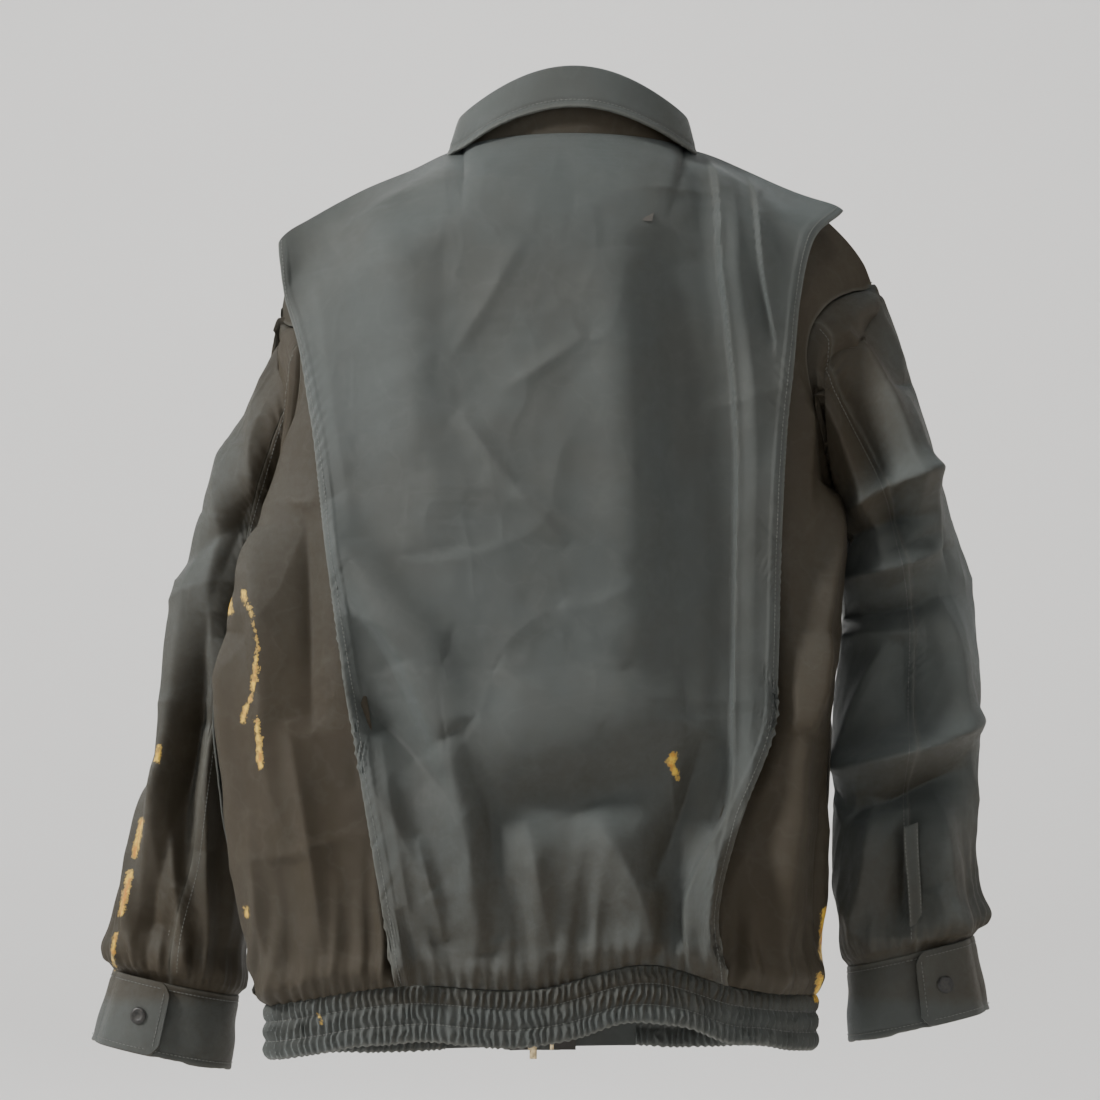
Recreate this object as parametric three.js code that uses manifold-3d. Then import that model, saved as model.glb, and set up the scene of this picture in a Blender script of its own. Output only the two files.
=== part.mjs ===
// A long-sleeved blouson jacket for painting in, hung up empty by the back of its neck.
// Millimetres. X runs to the wearer's left, Y to the wearer's back, Z up. The origin is the
// point that it hangs from, in the middle of the neck at the height of the back neck seam.
import * as THREE from "three";
import { mergeVertices } from "three/addons/utils/BufferGeometryUtils.js";
import Module from "manifold-3d";

const wasm = await Module();
wasm.setup();

// Driving sizes
const BACK_LENGTH = 680; // back neck seam to the top of the hem band
const HALF_CHEST = 240; // middle to the end of a shoulder
const FRONT_DEPTH = 90; // origin to the flat of the fronts
const BACK_DEPTH = 98; // origin to the fullest part of the back
const NECK_HALF = 88; // half the width of the neck hole
const NECK_BACK = 45; // origin to the back neck seam
const NECK_DROP = 80; // how much lower the neck hole is in front
const CLOTH = 1.4; // one made-up layer of shell and lining
const GAP = 0.4; // room left at a seam
const BAND_HEIGHT = 44; // hem band
const CUFF_HEIGHT = 60;
const ZIP_X = 35.5; // middle of the zip on the wearer's left front
const FRONTS_APART = 18; // how far apart the two chains hang
const FLAP_OVERLAP = 34; // how far the fly flap passes the zip

// Rows that every body panel shares, so that panels meet along the same line.
const ARMHOLE_ROWS = 8;
const SKIRT_ROWS = 11;
const ARMHOLE_END = 0.31; // share of the side at which the armhole closes
const rows = [];
for (let k = 0; k <= ARMHOLE_ROWS; k++) rows.push(ARMHOLE_END * (k / ARMHOLE_ROWS) ** 1.3);
for (let k = 1; k <= SKIRT_ROWS; k++) rows.push(ARMHOLE_END + (1 - ARMHOLE_END) * (k / SKIRT_ROWS));

const { sin, cos, sqrt, abs, min, max, PI, sign } = Math;
const mix = (a, b, f) => a + (b - a) * f;
const clamp = (v, low, high) => min(max(v, low), high);

// A smooth curve through [place, value] stations, level with its end values beyond them.
function curveThrough(stations) {
  const slope = stations.map(([x, y], i) => {
    const [x0, y0] = stations[max(i - 1, 0)];
    const [x1, y1] = stations[min(i + 1, stations.length - 1)];
    return (y1 - y0) / (x1 - x0);
  });
  return (at) => {
    const x = clamp(at, stations[0][0], stations.at(-1)[0]);
    let i = 0;
    while (i < stations.length - 2 && x > stations[i + 1][0]) i++;
    const [x0, y0] = stations[i];
    const [x1, y1] = stations[i + 1];
    const h = x1 - x0;
    const u = (x - x0) / h;
    return (
      y0 * (1 + 2 * u) * (1 - u) ** 2 +
      y1 * u * u * (3 - 2 * u) +
      h * (slope[i] * u * (1 - u) ** 2 - slope[i + 1] * u * u * (1 - u))
    );
  };
}

const down = (f) => -f * BACK_LENGTH;
const out = (f) => f * HALF_CHEST;

// Height of the shoulder ridge over its length, out to the end of each shoulder.
const ridge = curveThrough(
  [
    [-1.01, 0.165], [-0.98, 0.14], [-0.91, 0.108], [-0.82, 0.08], [-0.58, 0.03], [-0.37, 0.004],
    [0.37, 0.004], [0.55, 0.03], [0.73, 0.058], [0.87, 0.094], [0.95, 0.135], [0.99, 0.205],
  ].map(([x, f]) => [out(x), down(f)]),
);
const LEFT_END = 0.205; // share of the back length at which the left shoulder ends
const RIGHT_END = 0.165;
const SIDE_LEFT_HEM = 1.018;
const SIDE_RIGHT_HEM = 1.008;

// Hem seam: it rides up over the gathers at the back and is level in front.
const hemBack = curveThrough(
  [
    [-0.79, 1.008], [-0.52, 0.996], [-0.23, 0.969], [0.13, 0.997], [0.55, 0.993], [1, 1.018],
  ].map(([x, f]) => [out(x), down(f)]),
);
const hemFront = curveThrough([
  [out(-0.79), down(SIDE_RIGHT_HEM)],
  [out(1), down(SIDE_LEFT_HEM)],
]);

// The two side lines, by share of the way from the end of the shoulder to the hem.
const sideLeft = curveThrough(
  [[0, 0.99], [0.05, 0.955], [0.14, 0.95], [0.25, 0.965], [0.4, 1.06], [0.53, 1.18], [0.72, 1.15], [0.88, 1.09], [1, 1]]
    .map(([t, f]) => [t, out(f)]),
);
const sideRight = curveThrough(
  [[0, -1.01], [0.09, -0.92], [0.19, -0.86], [0.31, -0.88], [0.42, -0.9], [0.6, -0.86], [0.85, -0.84], [1, -0.79]]
    .map(([t, f]) => [t, out(f)]),
);
// How far back each side line runs.
const sideBackLeft = curveThrough([[0, 0], [0.3, 12], [0.45, 30], [0.6, 42], [0.9, 34], [1, 15]]);
const sideBackRight = curveThrough([[0, 0], [0.4, -4], [1, -10]]);
const backDepth = curveThrough([[0, 0.84], [0.15, 0.95], [0.5, 1.02], [0.85, 0.98], [1, 0.86]]);
const frontDepth = curveThrough([[0, 0.94], [0.08, 0.99], [0.16, 1], [0.3, 1], [1, 1]]);

const neckEdge = (x) => sqrt(max(1 - (x / NECK_HALF) ** 2, 0));

// A point of the body: c is -1 on the right side line and 1 on the left, t is 0 at the shoulder
// and 1 at the hem, and back is 1 for the back half or -1 for the front half.
function bodyPoint(c, t, back) {
  const left = sideLeft(t);
  const right = sideRight(t);
  const x = mix(right, left, (c + 1) / 2);
  const x0 = mix(sideRight(0), sideLeft(0), (c + 1) / 2);
  const inNeck = neckEdge(x0);
  const top = back > 0 ? ridge(x0) : ridge(x0) - NECK_DROP * inNeck ** 1.5;
  const hem = back > 0 ? hemBack(x) : hemFront(x);
  const z = mix(top, hem, t);
  const side = mix(sideBackRight(t), sideBackLeft(t), (c + 1) / 2);
  const round = sqrt(max(1 - c * c, 0));
  const flat = round + (1 - round) * THREE.MathUtils.smoothstep(round, 0.9, 1);
  const depth = back > 0 ? BACK_DEPTH * backDepth(t) : -FRONT_DEPTH * frontDepth(t);
  const full = side + (depth - side) * flat;
  const edge = back > 0 ? NECK_BACK * inNeck : -FRONT_DEPTH * 0.96 * inNeck ** 0.5;
  const soft = 1 - (1 - clamp((top - z) / 85, 0, 1)) ** 2;
  return new THREE.Vector3(x, mix(edge, full, soft), z);
}
const cosAt = (x, t) => (2 * (x - sideRight(t))) / (sideLeft(t) - sideRight(t)) - 1;

// Where the armhole's edge runs at t, as a cosine: side is 1 on the left and -1 on the right.
const ARMHOLE_OPEN = { left: 0.3, right: 0.48 };
function armCos(t, side) {
  const open = side > 0 ? ARMHOLE_OPEN.left : ARMHOLE_OPEN.right;
  return side * cos(t < ARMHOLE_END ? open * sin((PI * t) / ARMHOLE_END) ** 0.8 : 0);
}

// Edges of the back overlay, by share of the way down.
const overlayLeft = curveThrough(
  [[0, 0.94], [0.12, 0.91], [0.3, 0.85], [0.5, 0.795], [0.75, 0.69], [1, 0.575]]
    .map(([t, f]) => [t, out(f)]),
);
const overlayRight = curveThrough(
  [[0, -0.86], [0.06, -0.77], [0.2, -0.715], [0.35, -0.68], [0.6, -0.655], [0.68, -0.64], [0.8, -0.53], [0.92, -0.46], [1, -0.49]]
    .map(([t, f]) => [t, out(f)]),
);

// Solids
const group = new THREE.Group();
const SHADES = {
  cloth: [0x6d706c, 0.7, 0],
  shade: [0x4a4034, 0.75, 0],
  lining: [0x3a342b, 0.8, 0],
  tape: [0x2b2924, 0.85, 0],
  elastic: [0x5a564c, 0.85, 0],
  metal: [0xa39a86, 0.35, 1],
  cap: [0x161616, 0.4, 0.4],
};

function add(name, shade, geometry) {
  const [color, roughness, metalness] = SHADES[shade];
  const material = new THREE.MeshStandardMaterial({ color, roughness, metalness });
  const mesh = new THREE.Mesh(geometry, material);
  mesh.name = name;
  group.add(mesh);
  return mesh;
}

function solidFrom(points, faces) {
  const geometry = new THREE.BufferGeometry();
  const flat = points.flatMap((p) => [p.x, p.y, p.z]);
  geometry.setAttribute("position", new THREE.Float32BufferAttribute(flat, 3));
  geometry.setIndex(faces);
  let six = 0;
  for (let i = 0; i < faces.length; i += 3) {
    const [a, b, c] = [points[faces[i]], points[faces[i + 1]], points[faces[i + 2]]];
    six += a.dot(b.clone().cross(c));
  }
  if (six < 0) {
    for (let i = 0; i < faces.length; i += 3) {
      [faces[i], faces[i + 1]] = [faces[i + 1], faces[i]];
    }
    geometry.setIndex(faces);
  }
  return mergeVertices(geometry, 1e-4);
}

// A panel with thickness: grid holds rows of points of one face, and the other face lies
// thickness away along the grid's own normals, on the side that facing gives as 1 or -1 or as a
// function of the point. Where the cloth goes on past its two seams,
// beyond gives the next column of points on each side, so that both panels lean alike there.
function panel(name, shade, grid, thickness, facing, beyond = null) {
  const nv = grid.length;
  const nu = grid[0].length;
  const at = (j, i) => {
    const row = clamp(j, 0, nv - 1);
    if (beyond && i < 0) return beyond[0][row];
    if (beyond && i >= nu) return beyond[1][row];
    return grid[row][clamp(i, 0, nu - 1)];
  };
  const other = [];
  for (let j = 0; j < nv; j++) {
    for (let i = 0; i < nu; i++) {
      const along = at(j, i + 1).clone().sub(at(j, i - 1));
      const across = at(j + 1, i).clone().sub(at(j - 1, i));
      const normal = along.cross(across).normalize();
      const turned = typeof facing === "number" ? facing < 0 : normal.dot(facing(at(j, i))) < 0;
      if (turned) normal.negate();
      other.push(at(j, i).clone().addScaledVector(normal, thickness));
    }
  }
  const points = [...grid.flat(), ...other];
  const half = nv * nu;
  const faces = [];
  const quad = (a, b, c, d) => faces.push(a, b, c, a, c, d);
  for (let j = 0; j < nv - 1; j++) {
    for (let i = 0; i < nu - 1; i++) {
      const k = j * nu + i;
      quad(k, k + 1, k + nu + 1, k + nu);
      quad(half + k, half + k + nu, half + k + nu + 1, half + k + 1);
    }
  }
  for (let i = 0; i < nu - 1; i++) {
    quad(i + 1, i, half + i, half + i + 1);
    const k = (nv - 1) * nu + i;
    quad(k, k + 1, half + k + 1, half + k);
  }
  for (let j = 0; j < nv - 1; j++) {
    const k = j * nu;
    quad(k, k + nu, half + k + nu, half + k);
    const e = k + nu - 1;
    quad(e + nu, e, half + e, half + e + nu);
  }
  return add(name, shade, solidFrom(points, faces));
}

// A strip swept along frames, each { at, side, up }. profileAt gives its outline at a frame
// as [sideways, upwards] pairs, always the same number of them.
function sweep(name, shade, frames, profileAt) {
  const rings = frames.map(({ at, side, up }, i) =>
    profileAt(i / (frames.length - 1)).map(([s, h]) =>
      at.clone().addScaledVector(side, s).addScaledVector(up, h),
    ),
  );
  const n = rings[0].length;
  const faces = [];
  for (let j = 0; j < rings.length - 1; j++) {
    for (let i = 0; i < n; i++) {
      const a = j * n + i;
      const b = j * n + ((i + 1) % n);
      faces.push(a, b, b + n, a, b + n, a + n);
    }
  }
  const outline = profileAt(0).map(([s, h]) => new THREE.Vector2(s, h));
  const end = profileAt(1).map(([s, h]) => new THREE.Vector2(s, h));
  const last = (rings.length - 1) * n;
  const { area, triangulateShape } = THREE.ShapeUtils;
  const wound = (points, tri) =>
    area(tri.map((k) => points[k])) * area(points) < 0 ? [tri[0], tri[2], tri[1]] : tri;
  for (const tri of triangulateShape(outline.slice(), [])) {
    const [p, q, r] = wound(outline, tri);
    faces.push(p, r, q);
  }
  for (const tri of triangulateShape(end.slice(), [])) {
    const [p, q, r] = wound(end, tri);
    faces.push(last + p, last + q, last + r);
  }
  return add(name, shade, solidFrom(rings.flat(), faces));
}

// The body shell

const awayFromMiddle = (p) => new THREE.Vector3(p.x * 0.4, p.y, p.z > -150 ? 60 : 0);
const SEAM = GAP / 2 / HALF_CHEST;

// A body panel between two edges, which give its cosine at each row.
function bodyPanel(name, shade, back, steps, fromEdge, toEdge, thickness) {
  const grid = rows.map((t, j) => {
    const row = j === 0 ? 0.0008 : t;
    const a = Math.acos(clamp(fromEdge(t), -1, 1));
    const b = Math.acos(clamp(toEdge(t), -1, 1));
    return Array.from({ length: steps + 1 }, (_, i) => bodyPoint(cos(mix(a, b, i / steps)), row, back));
  });
  return panel(name, shade, grid, thickness, awayFromMiddle);
}

const side = (c) => (t) => c * min(abs(armCos(t, c)), 1 - SEAM * SEAM * 4);
const overlayCos = (t, curve, shift) => cosAt(curve(t) + shift, t);
const LEFT_FRONT_EDGE = ZIP_X + 11;
const RIGHT_CHAIN_X = ZIP_X - FRONTS_APART;
const RIGHT_FRONT_EDGE = RIGHT_CHAIN_X - 11;

bodyPanel("back_panel", "cloth", 1, 18,
  (t) => overlayCos(t, overlayRight, 0), (t) => overlayCos(t, overlayLeft, 0), CLOTH + 0.6);
bodyPanel("side_back_right", "shade", 1, 6,
  side(-1), (t) => overlayCos(t, overlayRight, -GAP * 1.6), CLOTH);
bodyPanel("side_back_left", "shade", 1, 6,
  (t) => overlayCos(t, overlayLeft, GAP * 1.6), side(1), CLOTH);
bodyPanel("front_right", "cloth", -1, 10,
  side(-1), (t) => cosAt(RIGHT_FRONT_EDGE, t), CLOTH);
bodyPanel("front_left", "cloth", -1, 10,
  (t) => cosAt(LEFT_FRONT_EDGE, t), side(1), CLOTH);

// Facing inside the back of the neck
{
  const steps = 10;
  const depths = [0.004, 0.02, 0.045, 0.075, 0.11];
  const grid = depths.map((t) =>
    Array.from({ length: steps + 1 }, (_, i) => {
      const p = bodyPoint(mix(-0.3, 0.3, i / steps), t, 1);
      return p.add(new THREE.Vector3(0, -4.4, -3.7));
    }),
  );
  panel("neck_facing", "lining", grid, 0.9, () => new THREE.Vector3(0, -1, -0.4));
}

// Sleeves

// The middle, half width and half depth of each sleeve by share of the way down it.
const SLEEVES = {
  left: {
    sign: 1,
    x: [[0, 0.99], [0.25, 1.06], [0.43, 1.13], [0.55, 1.18], [0.66, 1.235], [0.82, 1.285], [1, 1.345]],
    width: [[0, 0.09], [0.25, 0.11], [0.43, 0.14], [0.55, 0.165], [0.7, 0.195], [0.85, 0.215], [1, 0.215]],
    y: [[0, 0], [0.2, -30], [0.35, -56], [0.5, -72], [0.7, -82], [1, -84]],
    depth: [[0, 60], [0.3, 58], [0.5, 54], [0.8, 47], [1, 40]],
    cuff: { x: 1.362, top: 1.0, y: -84, half: 50, lean: 12, drift: 12 },
  },
  right: {
    sign: -1,
    x: [[0, 0.95], [0.2, 1.0], [0.35, 1.07], [0.48, 1.13], [0.62, 1.135], [0.8, 1.12], [1, 1.13]],
    width: [[0, 0.1], [0.2, 0.18], [0.35, 0.205], [0.48, 0.215], [0.62, 0.235], [0.8, 0.245], [1, 0.22]],
    y: [[0, 0], [0.2, -16], [0.4, -30], [0.7, -38], [1, -36]],
    depth: [[0, 60], [0.3, 55], [0.6, 50], [1, 42]],
    cuff: { x: 1.137, top: 0.96, y: -36, half: 50, lean: 14, drift: 6 },
  },
};
const SLEEVE_ROWS = 18;
const CUFF_THICK = 3;

// A point of the ring that a cuff's top or foot follows. turn is 0 on the outer side, 90 at the
// back, 180 against the body and 270 in front.
function cuffPoint(arm, turn, drop, swell) {
  const { cuff } = arm;
  const lean = THREE.MathUtils.degToRad(cuff.lean);
  const half = cuff.half + (drop * 6) / CUFF_HEIGHT + swell;
  const reach = half * cos(turn);
  return new THREE.Vector3(
    arm.sign * (out(cuff.x) + (cuff.drift * drop) / CUFF_HEIGHT + reach * cos(lean)),
    cuff.y + half * 0.78 * sin(turn),
    down(cuff.top) - drop + reach * sin(lean),
  );
}

// How far p lies inside the body at its height, pushed out to leave room beside the body.
function besideBody(p, room) {
  const found = p.clone();
  for (let k = 0; k < 6; k++) {
    const end = p.x > 0 ? bodyPoint(1, 0, 1).z : bodyPoint(-1, 0, 1).z;
    let t = clamp((end - p.z) / (end - down(1.01)), 0, 1);
    for (let n = 0; n < 8; n++) {
      const here = clamp(cosAt(found.x, t), -1, 1);
      const top = bodyPoint(here, 0, 1).z;
      t = clamp((top - p.z) / (top - bodyPoint(here, 1, 1).z), 0, 1);
    }
    const middle = (sideLeft(t) + sideRight(t)) / 2;
    const halfX = (sideLeft(t) - sideRight(t)) / 2 + room;
    const c = (found.x - middle) / halfX;
    const near = clamp(c, -1, 1);
    const y0 = bodyPoint(sign(near), t, 1).y;
    const halfY =
      found.y > y0
        ? BACK_DEPTH * backDepth(t) - y0 + room
        : FRONT_DEPTH * frontDepth(t) + y0 + room;
    const r = sqrt(c * c + ((found.y - y0) / halfY) ** 2);
    if (r >= 1) break;
    found.x = middle + ((found.x - middle) * 1) / max(r, 0.3);
    found.y = y0 + (found.y - y0) / max(r, 0.3);
  }
  return found;
}

// A point of a sleeve: turn as in cuffPoint, t from 0 at the armhole to 1 at the cuff.
function sleeveMaker(arm) {
  const [x, width, y, depth] = [arm.x, arm.width, arm.y, arm.depth].map(curveThrough);
  const tube = (turn, t) => [
    arm.sign * (out(x(t)) + out(width(t)) * cos(turn)),
    y(t) + depth(t) * sin(turn),
  ];
  return (turn, t) => {
    const round = turn > PI ? 2 * PI - turn : turn;
    const row = ARMHOLE_END * (abs(round) / PI) ** 1.3;
    const seam = bodyPoint(armCos(row, arm.sign), row, sin(turn) >= 0 ? 1 : -1);
    seam.x += arm.sign * mix(GAP + 0.6, CLOTH + FRONT_DEPTH * 0.036, abs(round) / PI);
    seam.z -= GAP;
    const end = cuffPoint(arm, turn, -1.2, 3);
    const z = mix(seam.z, end.z, t);
    const overall = clamp((seam.z * 0 + down(0.17) - z) / (down(0.17) - end.z), 0, 1);
    const [px, py] = tube(turn, overall);
    const [sx, sy] = tube(turn, clamp((down(0.17) - seam.z) / (down(0.17) - end.z), 0, 1));
    const hold = (1 - clamp(t / 0.3, 0, 1)) ** 2 * (1 + 2 * clamp(t / 0.3, 0, 1));
    const close = THREE.MathUtils.smoothstep(t, 0.8, 1);
    const free = new THREE.Vector3(px + (seam.x - sx) * hold, py + (seam.y - sy) * hold, z);
    const point = new THREE.Vector3(mix(free.x, end.x, close), mix(free.y, end.y, close), z);
    return t > 0 ? besideBody(point, CLOTH + FRONT_DEPTH / 15) : seam;
  };
}

const SEAM_TURN = (CLOTH * 0.34) / 42;
function sleevePanel(name, shade, arm, from, to) {
  const at = sleeveMaker(arm);
  const steps = ARMHOLE_ROWS;
  const point = (i, j) => {
    const shift = i === 0 ? SEAM_TURN : i === steps ? -SEAM_TURN : 0;
    const turn = from + ((to - from) * i) / steps + shift;
    return at((turn + 2 * PI) % (2 * PI), (j / SLEEVE_ROWS) ** 1.1);
  };
  const column = (i) => Array.from({ length: SLEEVE_ROWS + 1 }, (_, j) => point(i, j));
  const grid = Array.from({ length: SLEEVE_ROWS + 1 }, (_, j) =>
    Array.from({ length: steps + 1 }, (_, i) => point(i, j)),
  );
  return panel(name, shade, grid, CLOTH, arm.sign, [column(-1), column(steps + 1)]);
}

for (const [side, arm] of Object.entries(SLEEVES)) {
  sleevePanel("sleeve_upper_" + side, "cloth", arm, -PI / 2, PI / 2);
  sleevePanel("sleeve_under_" + side, "shade", arm, PI / 2, (3 * PI) / 2);
}

// Cuffs: a band that ends under its own tab, and the tab, which a snap holds shut.

const DEGREE = PI / 180;
const TAB_TURN = 25 * DEGREE; // where the tab leaves the band
const TAB_END = 92 * DEGREE;
const BAND_END = 58 * DEGREE - 2 * PI;
const SNAP_TURN = 71 * DEGREE;
const SNAP_RADIUS = 6.8;
const SNAP_ROOM = 3.2; // between the tab and the end of the band under it

function cuffFrames(arm, from, to, steps, swell) {
  return Array.from({ length: steps + 1 }, (_, i) => {
    const turn = mix(from, to, i / steps);
    const at = cuffPoint(arm, turn, 0, swell);
    const next = cuffPoint(arm, turn + 0.01, 0, swell);
    const up = at.clone().sub(cuffPoint(arm, turn, CUFF_HEIGHT, swell)).normalize();
    const side = next.sub(at).cross(up).normalize();
    const outward = cuffPoint(arm, turn, 0, swell + 1).sub(at);
    return { at, side: side.dot(outward) < 0 ? side.negate() : side, up };
  });
}

// A snap part turned about its own middle line, set on a face at a point and facing along normal.
function snapPart(name, shade, outline, at, normal) {
  const points = outline.map(([r, h]) => new THREE.Vector2(r, h));
  const geometry = mergeVertices(new THREE.LatheGeometry(points, 14).deleteAttribute("uv").deleteAttribute("normal"), 1e-4);
  geometry.applyQuaternion(new THREE.Quaternion().setFromUnitVectors(new THREE.Vector3(0, 1, 0), normal));
  geometry.translate(at.x, at.y, at.z);
  add(name, shade, geometry);
}

// Outlines of a snap's parts: radius, then height over the face that the part sits on.
const SNAP_CAP = [[0, 0.2], [SNAP_RADIUS, 0.2], [SNAP_RADIUS, 0.8], [SNAP_RADIUS * 0.8, 1.6], [0, 1.9]];
const SNAP_STUD = [[0, 0.2], [5, 0.2], [5, 0.7], [2, 0.7], [2, 1.5], [0, 1.9]];
const SNAP_SOCKET = [[2.9, 0.2], [5.4, 0.2], [5.4, 1.1], [2.9, 1.1], [2.9, 0.2]];

for (const [side, arm] of Object.entries(SLEEVES)) {
  const band = [[0, -CUFF_HEIGHT], [CUFF_THICK, -CUFF_HEIGHT], [CUFF_THICK, 0], [0, 0]];
  sweep("cuff_band_" + side, "cloth", cuffFrames(arm, TAB_TURN - GAP / 50, BAND_END, 26, 0), () => band);
  const lift = (f) => SNAP_ROOM * THREE.MathUtils.smoothstep(f, 0, 0.35);
  const tab = (f) => {
    const round = 9 * max(0, (f - 0.87) / 0.13) ** 2;
    return [
      [CUFF_THICK * 0 + lift(f) + (f > 0.01 ? CUFF_THICK * THREE.MathUtils.smoothstep(f, 0, 0.35) : 0), -CUFF_HEIGHT + round],
      [CUFF_THICK * 0 + lift(f) + CUFF_THICK * (1 + THREE.MathUtils.smoothstep(f, 0, 0.35)), -CUFF_HEIGHT + round],
      [CUFF_THICK * 0 + lift(f) + CUFF_THICK * (1 + THREE.MathUtils.smoothstep(f, 0, 0.35)), -round],
      [CUFF_THICK * 0 + lift(f) + (f > 0.01 ? CUFF_THICK * THREE.MathUtils.smoothstep(f, 0, 0.35) : 0), -round],
    ];
  };
  sweep("cuff_tab_" + side, "cloth", cuffFrames(arm, TAB_TURN + GAP / 50, TAB_END, 12, 0), tab);

  const [{ at, side: face, up }] = cuffFrames(arm, SNAP_TURN, SNAP_TURN + 0.1, 1, 0);
  const place = (h) => at.clone().addScaledVector(up, -CUFF_HEIGHT / 2).addScaledVector(face, h);
  snapPart("cuff_snap_stud_" + side, "metal", SNAP_STUD, place(CUFF_THICK), face);
  snapPart("cuff_snap_socket_" + side, "metal", SNAP_SOCKET, place(CUFF_THICK + SNAP_ROOM - 0.2), face.clone().negate());
  snapPart("cuff_snap_cap_" + side, "cap", SNAP_CAP, place(2 * CUFF_THICK + SNAP_ROOM + 0.2), face);
}

// Strip that faces the slit above each cuff
const SLIT_FROM = 0.8;
const SLIT_TO = 0.965;
for (const [side, arm] of Object.entries(SLEEVES)) {
  const at = sleeveMaker(arm);
  const half = 0.1;
  const grid = Array.from({ length: 7 }, (_, j) =>
    Array.from({ length: 3 }, (_, i) => {
      const turn = PI / 2 + mix(-half, half, i / 2);
      const p = at(turn, mix(SLIT_FROM, SLIT_TO, j / 6));
      return p.add(new THREE.Vector3(0, 1.1, 0));
    }),
  );
  panel("slit_strip_" + side, "cloth", grid, 1, () => new THREE.Vector3(0, 1, 0));
}

// Collar

const STAND_BACK = 46;
const STAND_SIDE = 22;
const STAND_THICK = 2;
const LEAF_THICK = 2;
const neckTurn = (x, back) => back * Math.acos(clamp(x / NECK_HALF, -1, 1));
const neckAt = (turn) => {
  const x = NECK_HALF * cos(turn);
  const c = cosAt(x, 0);
  return bodyPoint(c, 0, sin(turn) >= 0 ? 1 : -1);
};
const neckFrames = (from, to, steps, lift) =>
  Array.from({ length: steps + 1 }, (_, i) => {
    const turn = mix(from, to, i / steps);
    const at = neckAt(turn);
    const side = new THREE.Vector3(cos(turn) / NECK_HALF, sin(turn) / (sin(turn) > 0 ? 62 : NECK_HALF), 0);
    at.z += lift;
    return { at, side: side.normalize(), up: new THREE.Vector3(0, 0, 1), turn };
  });
const COLLAR_FROM = neckTurn(LEFT_FRONT_EDGE + 4, -1);
const COLLAR_TO = 2 * PI + neckTurn(RIGHT_FRONT_EDGE - 4, -1);
const turnOf = (f) => mix(COLLAR_FROM, COLLAR_TO, f);
const standHeight = (f) => mix(STAND_SIDE, STAND_BACK, max(sin(turnOf(f)), 0) ** 1.6);
sweep("collar_stand", "shade", neckFrames(COLLAR_FROM, COLLAR_TO, 30, 2.3), (f) => {
  const h = standHeight(f);
  return [[-1, 0], [STAND_THICK - 1, 0], [STAND_THICK - 1, h], [-1, h]];
});
sweep("collar_leaf", "cloth", neckFrames(COLLAR_FROM, COLLAR_TO, 30, 2.3), (f) => {
  const h = standHeight(f) + GAP;
  const front = max(-sin(turnOf(f)), 0);
  const fall = mix(31, 34, max(sin(turnOf(f)), 0)) + 10 * front;
  const away = mix(12, 9, max(sin(turnOf(f)), 0));
  const t = LEAF_THICK;
  return [
    [-1, h], [0, h + 4], [3, h + 6.5], [6, h + 5], [away - 1, h - fall * 0.4], [away + 2, h + 6 - fall],
    [away + 2 - t, h + 6 - fall], [away - 1 - t, h - fall * 0.4 + 1], [5 - 0.8, h + 3], [3, h + 4.3], [1.2, h + 2.6], [1, h],
  ];
});

// Hem band: a folded casing round the back and sides, with elastic in it, and a flat tab in front.

const HEM_ROW = 1;
const TAB_LENGTH = 58;
const hemPoint = (turn) => {
  const back = sin(turn) >= 0 ? 1 : -1;
  return bodyPoint(cos(turn), HEM_ROW, back);
};
const hemTurn = (x) => -Math.acos(clamp(cosAt(x, HEM_ROW), -1, 1));
const hemFrames = (from, to, steps) =>
  Array.from({ length: steps + 1 }, (_, i) => {
    const turn = mix(from, to, i / steps);
    const [before, after] = [hemPoint(turn - 0.02), hemPoint(turn + 0.02)];
    const side = new THREE.Vector3(after.y - before.y, before.x - after.x, 0).normalize();
    return { at: hemPoint(turn), side, up: new THREE.Vector3(0, 0, 1) };
  });
const PLY = 1;
const CASING = 4.2;
const casing = () => {
  const [a, b] = [-1.4, CASING - 1.4];
  const low = -BAND_HEIGHT;
  return [[a, -1], [a, low], [b, low], [b, -1], [b - PLY, -1], [b - PLY, low + PLY], [a + PLY, low + PLY], [a + PLY, -1]];
};
const hemFrom = hemTurn(LEFT_FRONT_EDGE + TAB_LENGTH + 1);
const hemTo = 2 * PI + hemTurn(RIGHT_FRONT_EDGE - TAB_LENGTH - 1);
sweep("hem_band", "cloth", hemFrames(hemFrom, hemTo, 44), casing);
sweep("hem_elastic", "elastic", hemFrames(hemFrom, hemTo, 44), () => {
  const [a, b] = [-1.4 + PLY + GAP, CASING - 1.4 - PLY - GAP];
  return [[a, -5], [a, -BAND_HEIGHT + PLY + 2], [b, -BAND_HEIGHT + PLY + 2], [b, -5]];
});
const flatTab = (name, from, to) =>
  sweep(name, "cloth", hemFrames(hemTurn(from), hemTurn(to), 4), () => {
    return [[-0.9, -1], [-0.9, -BAND_HEIGHT], [1.7, -BAND_HEIGHT], [1.7, -1]];
  });
flatTab("hem_tab_left", LEFT_FRONT_EDGE, LEFT_FRONT_EDGE + TAB_LENGTH);
flatTab("hem_tab_right", RIGHT_FRONT_EDGE - TAB_LENGTH, RIGHT_FRONT_EDGE);

// Zip: tapes behind the front edges, a chain on each tape, and the slider on the left chain.

const ZIP_TOP = down(0.172);
const ZIP_FOOT = down(SIDE_LEFT_HEM) - BAND_HEIGHT + 1;
const TAPE_Y = -FRONT_DEPTH + 3.5; // middle of the tapes
const TAPE_THICK = 1;
const CHAIN = 3.2;
const SLIDER_LENGTH = 11;

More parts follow.
